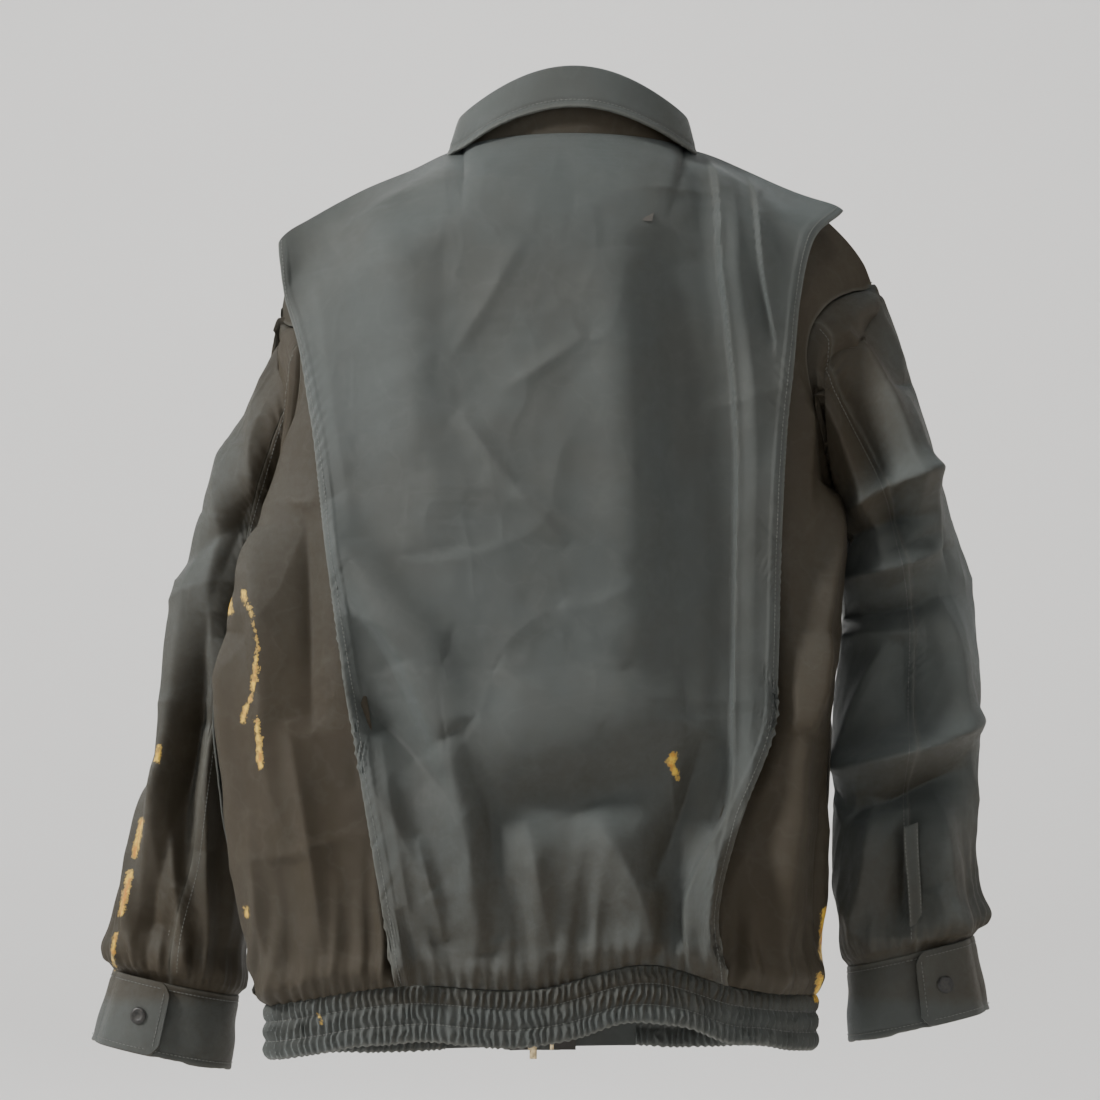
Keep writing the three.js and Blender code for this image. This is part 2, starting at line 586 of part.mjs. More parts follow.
function box(name, shade, from, to) {
  const size = new THREE.Vector3().subVectors(to, from);
  const geometry = new THREE.BoxGeometry(abs(size.x), abs(size.y), abs(size.z));
  geometry.translate((from.x + to.x) / 2, (from.y + to.y) / 2, (from.z + to.z) / 2);
  return add(name, shade, geometry);
}
const V = (x, y, z) => new THREE.Vector3(x, y, z);

for (const [side, x, away] of [["left", ZIP_X, 1], ["right", RIGHT_CHAIN_X, -1]]) {
  const inner = x + away * (CHAIN / 2 + GAP / 2);
  box("zip_tape_" + side, "tape", V(inner, TAPE_Y - TAPE_THICK / 2, ZIP_FOOT), V(x + away * out(0.082), TAPE_Y + TAPE_THICK / 2, ZIP_TOP));
  box("zip_chain_" + side, "metal", V(x - CHAIN / 2, TAPE_Y - CHAIN / 2, ZIP_FOOT + 12), V(x + CHAIN / 2, TAPE_Y + CHAIN / 2, ZIP_TOP - 5));
  box("zip_stop_" + side, "metal", V(x - CHAIN / 2, TAPE_Y - CHAIN * 0.7, ZIP_TOP - 4.7), V(x + CHAIN / 2, TAPE_Y + CHAIN * 0.7, ZIP_TOP));
}
box("zip_box", "metal", V(ZIP_X - 4, TAPE_Y - 2.6, ZIP_FOOT), V(ZIP_X + CHAIN / 2, TAPE_Y + 2.6, ZIP_FOOT + 11.6));
box("zip_pin", "metal", V(RIGHT_CHAIN_X - CHAIN / 2, TAPE_Y - 1.2, ZIP_FOOT), V(RIGHT_CHAIN_X + CHAIN / 2, TAPE_Y + 1.2, ZIP_FOOT + 11.6));

// The geometries joined into one closed solid.
function joined(geometries) {
  const solids = geometries.map((g) => {
    const bare = g.clone().deleteAttribute("normal").deleteAttribute("uv");
    const merged = mergeVertices(bare, 1e-4);
    const vertProperties = merged.attributes.position.array;
    const triVerts = new Uint32Array(merged.index.array);
    return new wasm.Manifold(new wasm.Mesh({ numProp: 3, vertProperties, triVerts }));
  });
  const mesh = wasm.Manifold.union(solids).getMesh();
  const geometry = new THREE.BufferGeometry();
  geometry.setAttribute("position", new THREE.BufferAttribute(mesh.vertProperties, mesh.numProp));
  return geometry.setIndex(new THREE.BufferAttribute(mesh.triVerts, 1));
}

// An outline of [x, y] pairs, with holes, made thick by length along +Z of its own frame.
function extruded(outline, length, holes = []) {
  const shape = new THREE.Shape(outline.map(([x, y]) => new THREE.Vector2(x, y)));
  for (const hole of holes) shape.holes.push(new THREE.Path(hole.map(([x, y]) => new THREE.Vector2(x, y))));
  return new THREE.ExtrudeGeometry(shape, { depth: length, bevelEnabled: false });
}

// Slider: two plates and the bridge between them, with lips that keep the chain in, and a bail
// that the pull hangs from.
const SLIDER_HALF = 6.5;
const BRIDGE = 1.4;
const SLIDER_X = ZIP_X - CHAIN / 2 - GAP - BRIDGE / 2;
const PLATE_IN = CHAIN / 2 + GAP;
const PLATE_OUT = PLATE_IN + 1.2;
const SLIDER_FOOT = ZIP_FOOT + 12.2;
const LIP_IN = TAPE_THICK / 2 + GAP;
const sliderOutline = [
  [-SLIDER_HALF, -PLATE_OUT], [SLIDER_HALF, -PLATE_OUT], [SLIDER_HALF, -LIP_IN], [SLIDER_HALF - 0.9, -LIP_IN],
  [SLIDER_HALF - 0.9, -PLATE_IN], [BRIDGE / 2, -PLATE_IN], [BRIDGE / 2, PLATE_IN],
  [SLIDER_HALF - 0.9, PLATE_IN], [SLIDER_HALF - 0.9, LIP_IN], [SLIDER_HALF, LIP_IN], [SLIDER_HALF, PLATE_OUT],
  [-SLIDER_HALF, PLATE_OUT], [-SLIDER_HALF, LIP_IN], [-SLIDER_HALF + 0.9, LIP_IN], [-SLIDER_HALF + 0.9, PLATE_IN],
  [-BRIDGE / 2, PLATE_IN], [-BRIDGE / 2, -PLATE_IN], [-SLIDER_HALF + 0.9, -PLATE_IN],
  [-SLIDER_HALF + 0.9, -LIP_IN], [-SLIDER_HALF, -LIP_IN],
];
const PULL_THICK = 1.2;
const BAIL_ROOM = 2.2;
const BAIL_WIDE = 2;
const PULL_Z = SLIDER_FOOT + SLIDER_LENGTH * 0.55;
const PULL_Y = TAPE_Y - PLATE_OUT - BAIL_ROOM / 2;
const PULL_LENGTH = 26;
{
  const slider = extruded(sliderOutline, SLIDER_LENGTH).translate(SLIDER_X, TAPE_Y, SLIDER_FOOT);
  const reach = BAIL_ROOM + 1;
  const bail = extruded(
    [[-0.4, -2.5], [reach, -2.5], [reach, 2.5], [-0.4, 2.5]],
    BAIL_WIDE,
    [[[0, -1.7], [BAIL_ROOM, -1.7], [BAIL_ROOM, 1.7], [0, 1.7]]],
  );
  // The outline's x runs away from the plate, its y up, and its thickness across.
  const turn = new THREE.Matrix4().makeBasis(V(0, -1, 0), V(0, 0, 1), V(-1, 0, 0));
  bail.applyMatrix4(turn).translate(SLIDER_X + BAIL_WIDE / 2, TAPE_Y - PLATE_OUT, PULL_Z);
  add("zip_slider", "metal", joined([slider, bail]));

  const half = 3;
  const hole = BAIL_WIDE / 2 + GAP;
  const bar = 0.6;
  const foot = -PULL_LENGTH;
  const pull = extruded(
    [[-half, bar], [-half, foot + 1.5], [-half + 1.5, foot], [half - 1.5, foot], [half, foot + 1.5], [half, bar]],
    PULL_THICK,
    [[[-hole, -bar], [hole, -bar], [hole, -bar - 6], [-hole, -bar - 6]]],
  );
  const upright = new THREE.Matrix4().makeBasis(V(1, 0, 0), V(0, 0, 1), V(0, -1, 0));
  pull.applyMatrix4(upright).translate(SLIDER_X, PULL_Y + PULL_THICK / 2, PULL_Z);
  add("zip_pull", "metal", joined([pull]));
}

// Fly flap, from its seam on the left front across the zip, with snaps down it.
const FLAP_X = LEFT_FRONT_EDGE + 6;
const FLAP_Y = -FRONT_DEPTH - 9;
const FLAP_TOP = down(0.178);
const FLAP_FOOT = down(SIDE_LEFT_HEM) - BAND_HEIGHT;
const FLAP_THICK = 1.6;
const FLAP_FREE = ZIP_X - FLAP_OVERLAP;
const CORNER = 10;
{
  const stations = [FLAP_X, FLAP_X - 2, FLAP_X - 5, FLAP_X - 9, 30, 20, FLAP_FREE + CORNER, FLAP_FREE + 5, FLAP_FREE + 1.5, FLAP_FREE];
  const rise = THREE.MathUtils.smoothstep;
  const grid = Array.from({ length: 9 }, (_, j) =>
    stations.map((x) => {
      const past = clamp((FLAP_FREE + CORNER - x) / CORNER, 0, 1);
      const cut = CORNER * 0.98 * (1 - sqrt(1 - past * past));
      const y = mix(-FRONT_DEPTH - CLOTH - 0.7, FLAP_Y, rise(FLAP_X - x, 0, 9));
      return V(x, y, mix(FLAP_FOOT + cut, FLAP_TOP - cut, j / 8));
    }),
  );
  panel("fly_flap", "cloth", grid, FLAP_THICK, () => V(0.2, -1, 0));
}
const SNAP_COUNT = 5;
const FLAP_SNAP_X = ZIP_X - 19;
const STUD_X = RIGHT_CHAIN_X - 21.5;
for (let k = 0; k < SNAP_COUNT; k++) {
  const z = mix(FLAP_TOP - 24, FLAP_FOOT + BAND_HEIGHT * 0.43, k / (SNAP_COUNT - 1));
  const n = k + 1;
  snapPart("fly_snap_cap_" + n, "cap", SNAP_CAP, V(FLAP_SNAP_X, FLAP_Y - FLAP_THICK, z), V(0, -1, 0));
  snapPart("fly_snap_socket_" + n, "metal", SNAP_SOCKET, V(FLAP_SNAP_X, FLAP_Y, z), V(0, 1, 0));
  snapPart("fly_snap_stud_" + n, "metal", SNAP_STUD, V(STUD_X, -FRONT_DEPTH - CLOTH - 0.3, z), V(0, -1, 0));
}

// Hang loop inside the collar
{
  const half = 22;
  const frames = Array.from({ length: 13 }, (_, i) => {
    const x = mix(-half, half, i / 12);
    const bow = 1 - (x / half) ** 2;
    return { at: V(x, NECK_BACK - 3.6 - 11 * bow, 9 - 6 * bow), side: V(0, 1, 0), up: V(0, 0, 1) };
  });
  sweep("hang_loop", "tape", frames, () => [[-0.5, -2.5], [0.5, -2.5], [0.5, 2.5], [-0.5, 2.5]]);
}

export default group;
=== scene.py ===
# %% [markdown]
# # An artist's smock jacket, hung up and seen from the back
# A blouson made of changeable cloth: its warp and weft differ in colour, so it reads grey-green
# where it faces the light and warm brown where it turns away. Each panel is a surface worked out
# with numpy, with the folds added as formulas, so the shape can be read and changed line by line.
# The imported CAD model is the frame: it fixes every place, and the bodies that the pieces ride on.

# %% Setting up
import math
import bpy
import numpy as np
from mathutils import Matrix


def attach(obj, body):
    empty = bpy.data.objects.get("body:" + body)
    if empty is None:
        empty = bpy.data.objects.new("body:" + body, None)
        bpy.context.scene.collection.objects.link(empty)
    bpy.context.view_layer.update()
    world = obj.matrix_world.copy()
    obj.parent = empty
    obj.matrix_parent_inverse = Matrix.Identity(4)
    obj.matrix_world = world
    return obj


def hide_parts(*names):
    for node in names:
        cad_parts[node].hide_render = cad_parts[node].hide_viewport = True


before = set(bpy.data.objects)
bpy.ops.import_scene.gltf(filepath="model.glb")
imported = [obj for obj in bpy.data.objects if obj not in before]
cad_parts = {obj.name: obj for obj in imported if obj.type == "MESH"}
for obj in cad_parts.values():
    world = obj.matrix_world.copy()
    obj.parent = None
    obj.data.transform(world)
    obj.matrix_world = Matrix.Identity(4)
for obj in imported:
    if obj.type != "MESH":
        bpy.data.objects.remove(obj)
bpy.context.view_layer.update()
MM = 0.001
shown = {}
print("CAD nodes:", len(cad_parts))

# %% [markdown]
# ## Curves and noise
# Most edges of a garment are smooth lines through a few known places. A cubic through stations
# gives them. Small crumples come from value noise: random heights on a lattice, blended smoothly.

# %% Curves and noise
def curve_through(stations, scale=1.0):
    """A smooth curve through (place, value) stations: a Hermite cubic whose slope at a station is
    that of the line through its two neighbours. Level beyond the ends."""
    xs, ys = np.array(stations, float).T
    ys = ys * scale
    before = np.maximum(np.arange(len(xs)) - 1, 0)
    after = np.minimum(np.arange(len(xs)) + 1, len(xs) - 1)
    slope = (ys[after] - ys[before]) / (xs[after] - xs[before])

    def at(x):
        x = np.clip(x, xs[0], xs[-1])
        i = np.clip(np.searchsorted(xs, x, side="right") - 1, 0, len(xs) - 2)
        h = xs[i + 1] - xs[i]
        u = (x - xs[i]) / h
        return (
            ys[i] * (1 + 2 * u) * (1 - u) ** 2
            + ys[i + 1] * u * u * (3 - 2 * u)
            + h * (slope[i] * u * (1 - u) ** 2 - slope[i + 1] * u * u * (1 - u))
        )

    return at


def smooth(x, low, high):
    """0 below low, 1 above high and 3t^2 - 2t^3 between them."""
    t = np.clip((x - low) / (high - low), 0, 1)
    return t * t * (3 - 2 * t)


def mix(a, b, f):
    """a where f is 0 and b where f is 1."""
    return a + (b - a) * f


def noise(x, y, size, seed):
    """Value noise from -1 to 1: lattice heights size apart, blended with 3t^2 - 2t^3."""
    heights = np.random.RandomState(seed).uniform(-1, 1, (64, 64))
    gx, gy = x / size, y / size
    ix, iy = np.floor(gx).astype(int), np.floor(gy).astype(int)
    u, v = smooth(gx - ix, 0, 1), smooth(gy - iy, 0, 1)
    at = lambda i, j: heights[(ix + i) % 64, (iy + j) % 64]
    return mix(mix(at(0, 0), at(1, 0), u), mix(at(0, 1), at(1, 1), u), v)


def creases(x, y, size, seed):
    """Sharp-crested creases from 0 to 1: one minus twice the height of noise above or below its
    middle, squared, with the lattice warped by a second noise so that the crests wander."""
    wx = x + 0.6 * size * noise(x, y, size * 1.7, seed + 1)
    wy = y + 0.6 * size * noise(x, y, size * 1.7, seed + 2)
    return np.clip(1 - 2.2 * np.abs(noise(wx, wy, size, seed)), 0, 1) ** 2


def fold(p, start, end, height, width, bow=0.0, lean=0.0):
    """A fold from start to end as (x, z) in millimetres. Its height over the cloth is
    height * exp(-(v / width)^power), where v is the distance from its line and power is 1.25 for
    a narrow fold and 2 for a broad one. It dies away at the ends as sin(pi u)^0.6. bow bends the
    line sideways and lean makes one flank steeper."""
    x0, z0, x1, z1 = (k * MM for k in (*start, *end))
    dx, dz = x1 - x0, z1 - z0
    length = math.hypot(dx, dz)
    u = ((p[..., 0] - x0) * dx + (p[..., 2] - z0) * dz) / length**2
    inside = np.clip(u, 0, 1)
    v = ((p[..., 0] - x0) * dz - (p[..., 2] - z0) * dx) / length
    v = v - bow * MM * 4 * inside * (1 - inside)
    w = width * MM * (1 + lean * np.sign(v))
    power = 1.25 + 0.75 * smooth(width, 13, 26)
    crest = np.exp(-((np.sqrt(v * v + 1e-6) / w) ** power))
    return height * MM * crest * np.sin(np.pi * inside) ** 0.6


# %% [markdown]
# ## The hung body
# An empty jacket hangs as two shallow shells, back and front, that meet along the shoulders and
# the side seams. One function gives any point of that shape. Each panel is then a patch of it
# between two seams, so neighbours always meet.

# %% The body's shape
BACK_LENGTH = 0.680
HALF_CHEST = 0.240
FRONT_DEPTH = 0.090
BACK_DEPTH = 0.098
NECK_HALF = 0.088
NECK_BACK = 0.045
NECK_DROP = 0.080
CLOTH = 0.0014
BAND_HEIGHT = 0.044
ARMHOLE_END = 0.31
ZIP_X = 0.0355
CHAINS_APART = 0.018
LEFT_EDGE = ZIP_X + 0.011
RIGHT_CHAIN_X = ZIP_X - CHAINS_APART
RIGHT_EDGE = RIGHT_CHAIN_X - 0.011


def across(stations):
    """A curve whose places run across the jacket and whose values run down it."""
    return curve_through([(x * HALF_CHEST, -z * BACK_LENGTH) for x, z in stations])


ridge = across([
    (-1.01, 0.165), (-0.98, 0.14), (-0.91, 0.108), (-0.82, 0.08), (-0.58, 0.03), (-0.37, 0.004),
    (0.37, 0.004), (0.55, 0.03), (0.73, 0.058), (0.87, 0.094), (0.95, 0.135), (0.99, 0.205),
])
hem_back = across(
    [(-0.79, 1.008), (-0.52, 0.996), (-0.23, 0.969), (0.13, 0.997), (0.55, 0.993), (1, 1.018)]
)
hem_front = across([(-0.79, 1.008), (1, 1.018)])
side_left = curve_through(
    [(0, 0.99), (0.05, 0.955), (0.14, 0.95), (0.25, 0.965), (0.4, 1.06), (0.53, 1.18), (0.72, 1.15),
     (0.88, 1.09), (1, 1)], HALF_CHEST)
side_right = curve_through(
    [(0, -1.01), (0.09, -0.92), (0.19, -0.86), (0.31, -0.88), (0.42, -0.9), (0.6, -0.86),
     (0.85, -0.84), (1, -0.79)], HALF_CHEST)
side_back_left = curve_through([(0, 0), (0.3, 12), (0.45, 30), (0.6, 42), (0.9, 34), (1, 15)], MM)
side_back_right = curve_through([(0, 0), (0.4, -4), (1, -10)], MM)
back_depth = curve_through([(0, 0.84), (0.15, 0.95), (0.5, 1.02), (0.85, 0.98), (1, 0.86)], BACK_DEPTH)
front_depth = curve_through([(0, 0.94), (0.08, 0.99), (0.16, 1), (0.3, 1), (1, 1)], FRONT_DEPTH)


def body_point(c, t, back):
    """The hung body: c runs from -1 on the right side line to 1 on the left, t from 0 at the
    shoulder to 1 at the hem. Across, the depth is that of half an ellipse. Down, it opens from
    the shoulder's edge as 1 - (1 - d)^2, d being the drop over 85 mm."""
    x = mix(side_right(t), side_left(t), (c + 1) / 2)
    x0 = mix(side_right(0), side_left(0), (c + 1) / 2)
    neck = np.sqrt(np.clip(1 - (x0 / NECK_HALF) ** 2, 0, None))
    top = ridge(x0) - (0 if back else NECK_DROP * neck**1.5)
    z = mix(top, hem_back(x) if back else hem_front(x), t)
    side = mix(side_back_right(t), side_back_left(t), (c + 1) / 2)
    round_ = np.sqrt(np.clip(1 - c * c, 0, None))
    flat = round_ + (1 - round_) * smooth(round_, 0.9, 1)
    full = side + ((back_depth(t) if back else -front_depth(t)) - side) * flat
    edge = NECK_BACK * neck if back else -FRONT_DEPTH * 0.96 * neck**0.5
    opened = 1 - (1 - np.clip((top - z) / 0.085, 0, 1)) ** 2
    return np.stack([x, mix(edge, full, opened), z], -1)


def cos_at(x, t):
    """The c that body_point needs to give x at t."""
    return 2 * (x - side_right(t)) / (side_left(t) - side_right(t)) - 1


def armhole(t, side):
    """The c of the armhole's edge: it opens and shuts as sin(pi t)^0.8 down to ARMHOLE_END."""
    wide = 0.3 if side > 0 else 0.48
    share = np.clip(t / ARMHOLE_END, 0, 1)
    return side * np.cos(wide * np.clip(np.sin(np.pi * share), 0, None) ** 0.8)


overlay_left = curve_through(
    [(0, 0.94), (0.12, 0.91), (0.3, 0.85), (0.5, 0.795), (0.75, 0.69), (1, 0.575)], HALF_CHEST)
overlay_right = curve_through(
    [(0, -0.86), (0.06, -0.77), (0.2, -0.715), (0.35, -0.68), (0.6, -0.655), (0.68, -0.64),
     (0.8, -0.53), (0.92, -0.46), (1, -0.49)], HALF_CHEST)
print("back, shoulder to hem, mm:", round((ridge(0) - hem_back(0)) / MM))


# %% [markdown]
# ## From a grid of points to cloth
# Real cloth has two faces and a cut edge. shell() takes a grid of points, pushes a copy along
# the normals for the other face and closes the rim, so each panel is one closed solid. It also
# lays a UV map in metres of cloth, and stores the distance to the seams, so that the weave and
# the wear can follow the panel.

# %% Making cloth
def normals_of(grid):
    """Unit normals of a grid of points: the cross product of its two directions."""
    n = np.cross(np.gradient(grid, axis=1), np.gradient(grid, axis=0))
    return n / np.maximum(np.linalg.norm(n, axis=-1, keepdims=True), 1e-12)


def lengths(grid, axis):
    """How far along the cloth each point of a grid lies, from the first row or column."""
    step = np.linalg.norm(np.diff(grid, axis=axis), axis=-1)
    zero = np.zeros_like(np.take(step, [0], axis))
    return np.concatenate([zero, np.cumsum(step, axis)], axis)


def add_mesh(name, points, faces, uv=None, smooth_faces=True, **values):
    """A mesh object from whole arrays. uv and each of values hold one entry for each point."""
    mesh = bpy.data.meshes.new(name)
    mesh.from_pydata(points.reshape(-1, 3).tolist(), [], faces)
    if uv is not None:
        corner = np.empty(len(mesh.loops), np.int32)
        mesh.loops.foreach_get("vertex_index", corner)
        layer = mesh.uv_layers.new(name="Cloth")
        layer.data.foreach_set("uv", uv.reshape(-1, 2)[corner].astype(np.float32).ravel())
    for key, value in values.items():
        attribute = mesh.attributes.new(key, "FLOAT", "POINT")
        attribute.data.foreach_set("value", np.ravel(value).astype(np.float32))
    mesh.polygons.foreach_set("use_smooth", [smooth_faces] * len(mesh.polygons))
    mesh.update()
    made = bpy.data.objects.new(name, mesh)
    bpy.context.scene.collection.objects.link(made)
    shown[name] = made
    return made


def shell(name, outer, thickness, out=1, **values):
    """A closed panel from the grid of its outer face. out is 1 if normals_of() points out of the
    cloth and -1 if it points in. The inner face lies thickness further in and takes every other
    point, and triangles join the two along the rim. Each of values holds a number for each point
    of the grid. Both sizes of the grid are odd."""
    normal = normals_of(outer) * out
    border = np.zeros(outer.shape[:2])
    border[[0, -1]] = border[:, [0, -1]] = 1
    outer = outer - normal * border[..., None] * thickness * 0.35
    inner = (outer - normal * (thickness - 0.35 * thickness * border[..., None]))[::2, ::2]
    uv = np.stack([lengths(outer, 1), lengths(outer, 0)], -1)
    k = np.arange(outer[..., 0].size).reshape(outer.shape[:2])
    m = k.size + np.arange(inner[..., 0].size).reshape(inner.shape[:2])

    def quads(n):
        return np.stack([n[:-1, :-1], n[:-1, 1:], n[1:, 1:], n[1:, :-1]], -1).reshape(-1, 4)

    def around(n):
        return np.concatenate([n[0, :-1], n[:-1, -1], n[-1, :0:-1], n[:0:-1, 0]])

    fine, coarse = around(k), around(m)
    r0, r1, r2 = fine[::2], fine[1::2], np.roll(fine, -2)[::2]
    s0, s1 = coarse, np.roll(coarse, -1)
    rim = np.concatenate([np.stack(t, -1) for t in ((r1, r0, s0), (r2, r1, s1), (r1, s0, s1))])
    faces = quads(k)[:, ::out].tolist() + quads(m)[:, ::-out].tolist() + rim[:, ::out].tolist()
    both = np.concatenate([outer.reshape(-1, 3), inner.reshape(-1, 3)])
    uvs = np.concatenate([uv.reshape(-1, 2), uv[::2, ::2].reshape(-1, 2)])
    data = {key: np.concatenate([v.ravel(), v[::2, ::2].ravel()]) for key, v in values.items()}
    made = add_mesh(name, both, faces, uvs, **data)
    made.data.set_sharp_from_angle(angle=math.radians(60))
    return made


def loop(name, rings, closed=False, sharp=40, **values):
    """A solid strip from rings of points: rings[i] is the outline at one place, and the last
    point of each joins its first. The two ends are capped unless the strip is closed."""
    n, m = rings.shape[:2]
    k = np.arange(n * m).reshape(n, m)
    ahead = np.roll(k, -1, 0) if closed else k[1:]
    here = k if closed else k[:-1]
    faces = np.stack([here, np.roll(here, -1, 1), np.roll(ahead, -1, 1), ahead], -1).reshape(-1, 4)
    caps = [] if closed else [k[0, ::-1].tolist(), k[-1].tolist()]
    middle = rings.mean(1, keepdims=True)
    spoke, next_spoke = rings - middle, np.roll(rings, -1, 1) - middle
    along = np.broadcast_to(middle[1:] - middle[:-1], rings[:-1].shape)
    volume = (np.cross(spoke[:-1], next_spoke[:-1]) * along).sum()
    step = -1 if volume > 0 else 1
    uv = np.stack([lengths(rings, 1), lengths(rings, 0)], -1)
    every = faces[:, ::step].tolist() + [cap[::step] for cap in caps]
    made = add_mesh(name, rings, every, uv, **values)
    made.data.set_sharp_from_angle(angle=math.radians(sharp))
    return made


# %% [markdown]
# ## Folds of the back
# A hung jacket shows where it was worn: two deep pleats run down from the right shoulder, a slack
# diagonal crosses the left of the back, and the hem's elastic draws the cloth into gathers, above
# which it blouses out. Each of these is one term of a sum.

# %% Folds of the back
pleat_one = curve_through([(-z * MM, x * MM) for x, z in [
    (-104, 0), (-111, -33), (-114, -106), (-118, -143), (-123, -198), (-126, -266), (-124, -360),
    (-122, -450), (-117, -538), (-98, -573), (-83, -613), (-86, -660)]])
pleat_two = curve_through([(-z * MM, x * MM) for x, z in [
    (-140, -21), (-142, -51), (-143, -88), (-146, -115), (-156, -170)]])


def pleat(p, line, height, trail, top, foot):
    """A pleat's edge along line, as x by drop: the cloth on the right of it stands height higher
    and falls back over trail. It fades out within 40 mm of the drops top and foot."""
    past = line(-p[..., 2]) - p[..., 0]
    held = smooth(-p[..., 2], top, top + 0.04) * (1 - smooth(-p[..., 2], foot - 0.04, foot))
    step = smooth(past, -0.0016, 0.0012) * np.exp(-((np.clip(past, 0, None) / trail) ** 1.3))
    return height * held * (step - 0.45 * np.exp(-(((past + 0.010) / 0.012) ** 2)))


def gathers(along, below, seed, pitch=0.027, height=0.009):
    """Gathers over a drawn-in seam. below is the distance down to the seam and along runs along
    it. Ridges pitch apart, out of step by noise, swell as the cloth blouses out 20 mm above the
    seam and are pinched at the seam, with finer ones between them close to it."""
    wander = noise(along, below, 0.07, seed) * 1.1 + noise(along, below * 0.5, 0.024, seed + 5) * 0.8
    broad = (0.5 + 0.5 * np.cos(2 * np.pi * along / pitch + 2.3 * wander)) ** 1.4
    fine = 0.5 + 0.5 * np.cos(2 * np.pi * along / (pitch * 0.37) + 2.6 * wander)
    reach = 0.038 + 0.028 * noise(along, along * 0, 0.034, seed + 9)
    away = np.clip(below, 0, None)
    swell = np.exp(-((np.clip(away - 0.02, 0, None) / reach) ** 1.4)) * smooth(away, -0.002, 0.018)
    near = np.exp(-away / 0.016)
    broad = broad * (0.75 + 0.6 * noise(along, below * 0.4, 0.045, seed + 12))
    blouse = 0.006 * np.exp(-(((away - 0.016) / 0.014) ** 2))
    return height * broad * swell + 0.0026 * fine * near + blouse


def strip_at(p):
    """How far the strip between the long pleat and the overlay's right edge stands up, 0 to 1: it
    rises over the first 12 mm past the pleat and sinks again below the pleat's end."""
    past = pleat_one(-p[..., 2]) - p[..., 0]
    held = smooth(-p[..., 2], 0.02, 0.10) * (1 - smooth(-p[..., 2], 0.50, 0.66))
    return smooth(past, 0.004, 0.016) * held * (0.8 + 0.35 * noise(p[..., 0], p[..., 2], 0.07, 33))


def crumple(x, z, seed, height=0.0012):
    """The wear of the cloth all over: soft unevenness and a few sharp creases."""
    soft = noise(x, z, 0.085, seed) * 0.0026 + noise(x, z, 0.034, seed + 3) * 0.0011
    soft = soft + 0.00035 * noise(x, z, 0.012, seed + 4)
    sharp = creases(x, z, 0.09, seed + 7) - 0.2
    return soft + height * sharp + 0.3 * height * creases(x, z, 0.03, seed + 8)


def pucker(s, d, seed, height=0.0011):
    """The puckers that a line of stitching draws into the cloth: s runs along it and d is the
    distance from the cloth's edge."""
    pitch = 0.0085 + 0.0015 * noise(s, d * 0, 0.05, seed)
    wave = np.cos(2 * np.pi * s / pitch + 2 * noise(s, d, 0.02, seed + 1))
    return height * wave * np.exp(-((d / 0.013) ** 1.5)) * (0.65 + 0.35 * noise(s, d * 0, 0.03, seed + 2))


def back_relief(p):
    """Every fold of the back overlay, seen from behind."""
    total = pleat(p, pleat_one, 0.0105, 0.030, -0.01, 0.68)
    total = total + pleat(p, pleat_two, 0.0065, 0.016, 0.0, 0.19)
    for start, end, height, width, bow in [
        ((205, -310), (95, -480), 17, 24, 8), ((196, -352), (112, -500), -10, 15, 8),
        ((125, -425), (70, -650), 13, 19, 8), ((92, -470), (52, -640), -9, 16, 6),
        ((150, -480), (120, -660), 8, 14, 0), ((100, -478), (-85, -458), 12, 30, -6),
        ((70, -540), (-75, -518), -12, 23, -5), ((-10, -540), (-62, -650), 11, 17, 8),
        ((38, -545), (16, -655), 8, 15, 0), ((-72, -50), (-88, -470), -14, 30, 5),
        ((-30, -100), (-50, -430), 6, 26, 4), ((160, -60), (118, -340), 7, 30, 10),
        ((205, -110), (172, -330), 6, 17, 0), ((75, -40), (88, -290), -5, 34, 0),
        ((-100, -480), (-58, -600), -13, 15, 5), ((-106, -550), (-98, -670), 14, 12, 2),
        ((95, -20), (195, -85), 4, 14, -3), ((-70, -15), (-150, -45), 4, 13, 3),
        ((45, -290), (-50, -360), 4.4, 9, 3), ((90, -230), (5, -335), 4.4, 9, -4),
        ((215, -380), (100, -420), 7, 14, 5), ((205, -425), (85, -545), -9, 13, 6),
        ((210, -450), (110, -600), 9, 12, 5), ((-20, -478), (60, -430), 5, 12, 0),
        ((-10, -170), (60, -215), 2.4, 8, 2), ((40, -90), (100, -190), 2.6, 10, 3),
        ((10, -380), (-40, -430), 2.6, 9, -2), ((120, -560), (100, -640), 6, 8, 0),
    ]:
        total = total + 1.35 * fold(p, start, end, height, width, bow)
    return total


def side_relief(p):
    """Folds of the brown panels at the sides of the back: on the right a full fold that stands
    like a pillar, and on the left a few slack ones."""
    total = 0
    for start, end, height, width, bow in [
        ((-206, -280), (-170, -480), 28, 16, -4), ((-182, -400), (-148, -700), 30, 19, -5),
        ((-216, -470), (-190, -660), -15, 10, 0), ((-184, -160), (-176, -330), 8, 10, 4),
        ((-196, -200), (-204, -290), -8, 9, 0), ((228, -180), (268, -400), 10, 17, 8),
        ((246, -320), (222, -580), 16, 18, -10), ((280, -400), (272, -640), 10, 13, -5),
        ((212, -300), (204, -480), -11, 13, 0), ((222, -470), (192, -670), 13, 13, 4),
        ((252, -540), (236, -690), 8, 10, 0), ((262, -340), (240, -470), -6, 11, -5),
    ]:
        total = total + fold(p, start, end, height, width, bow)
    return total


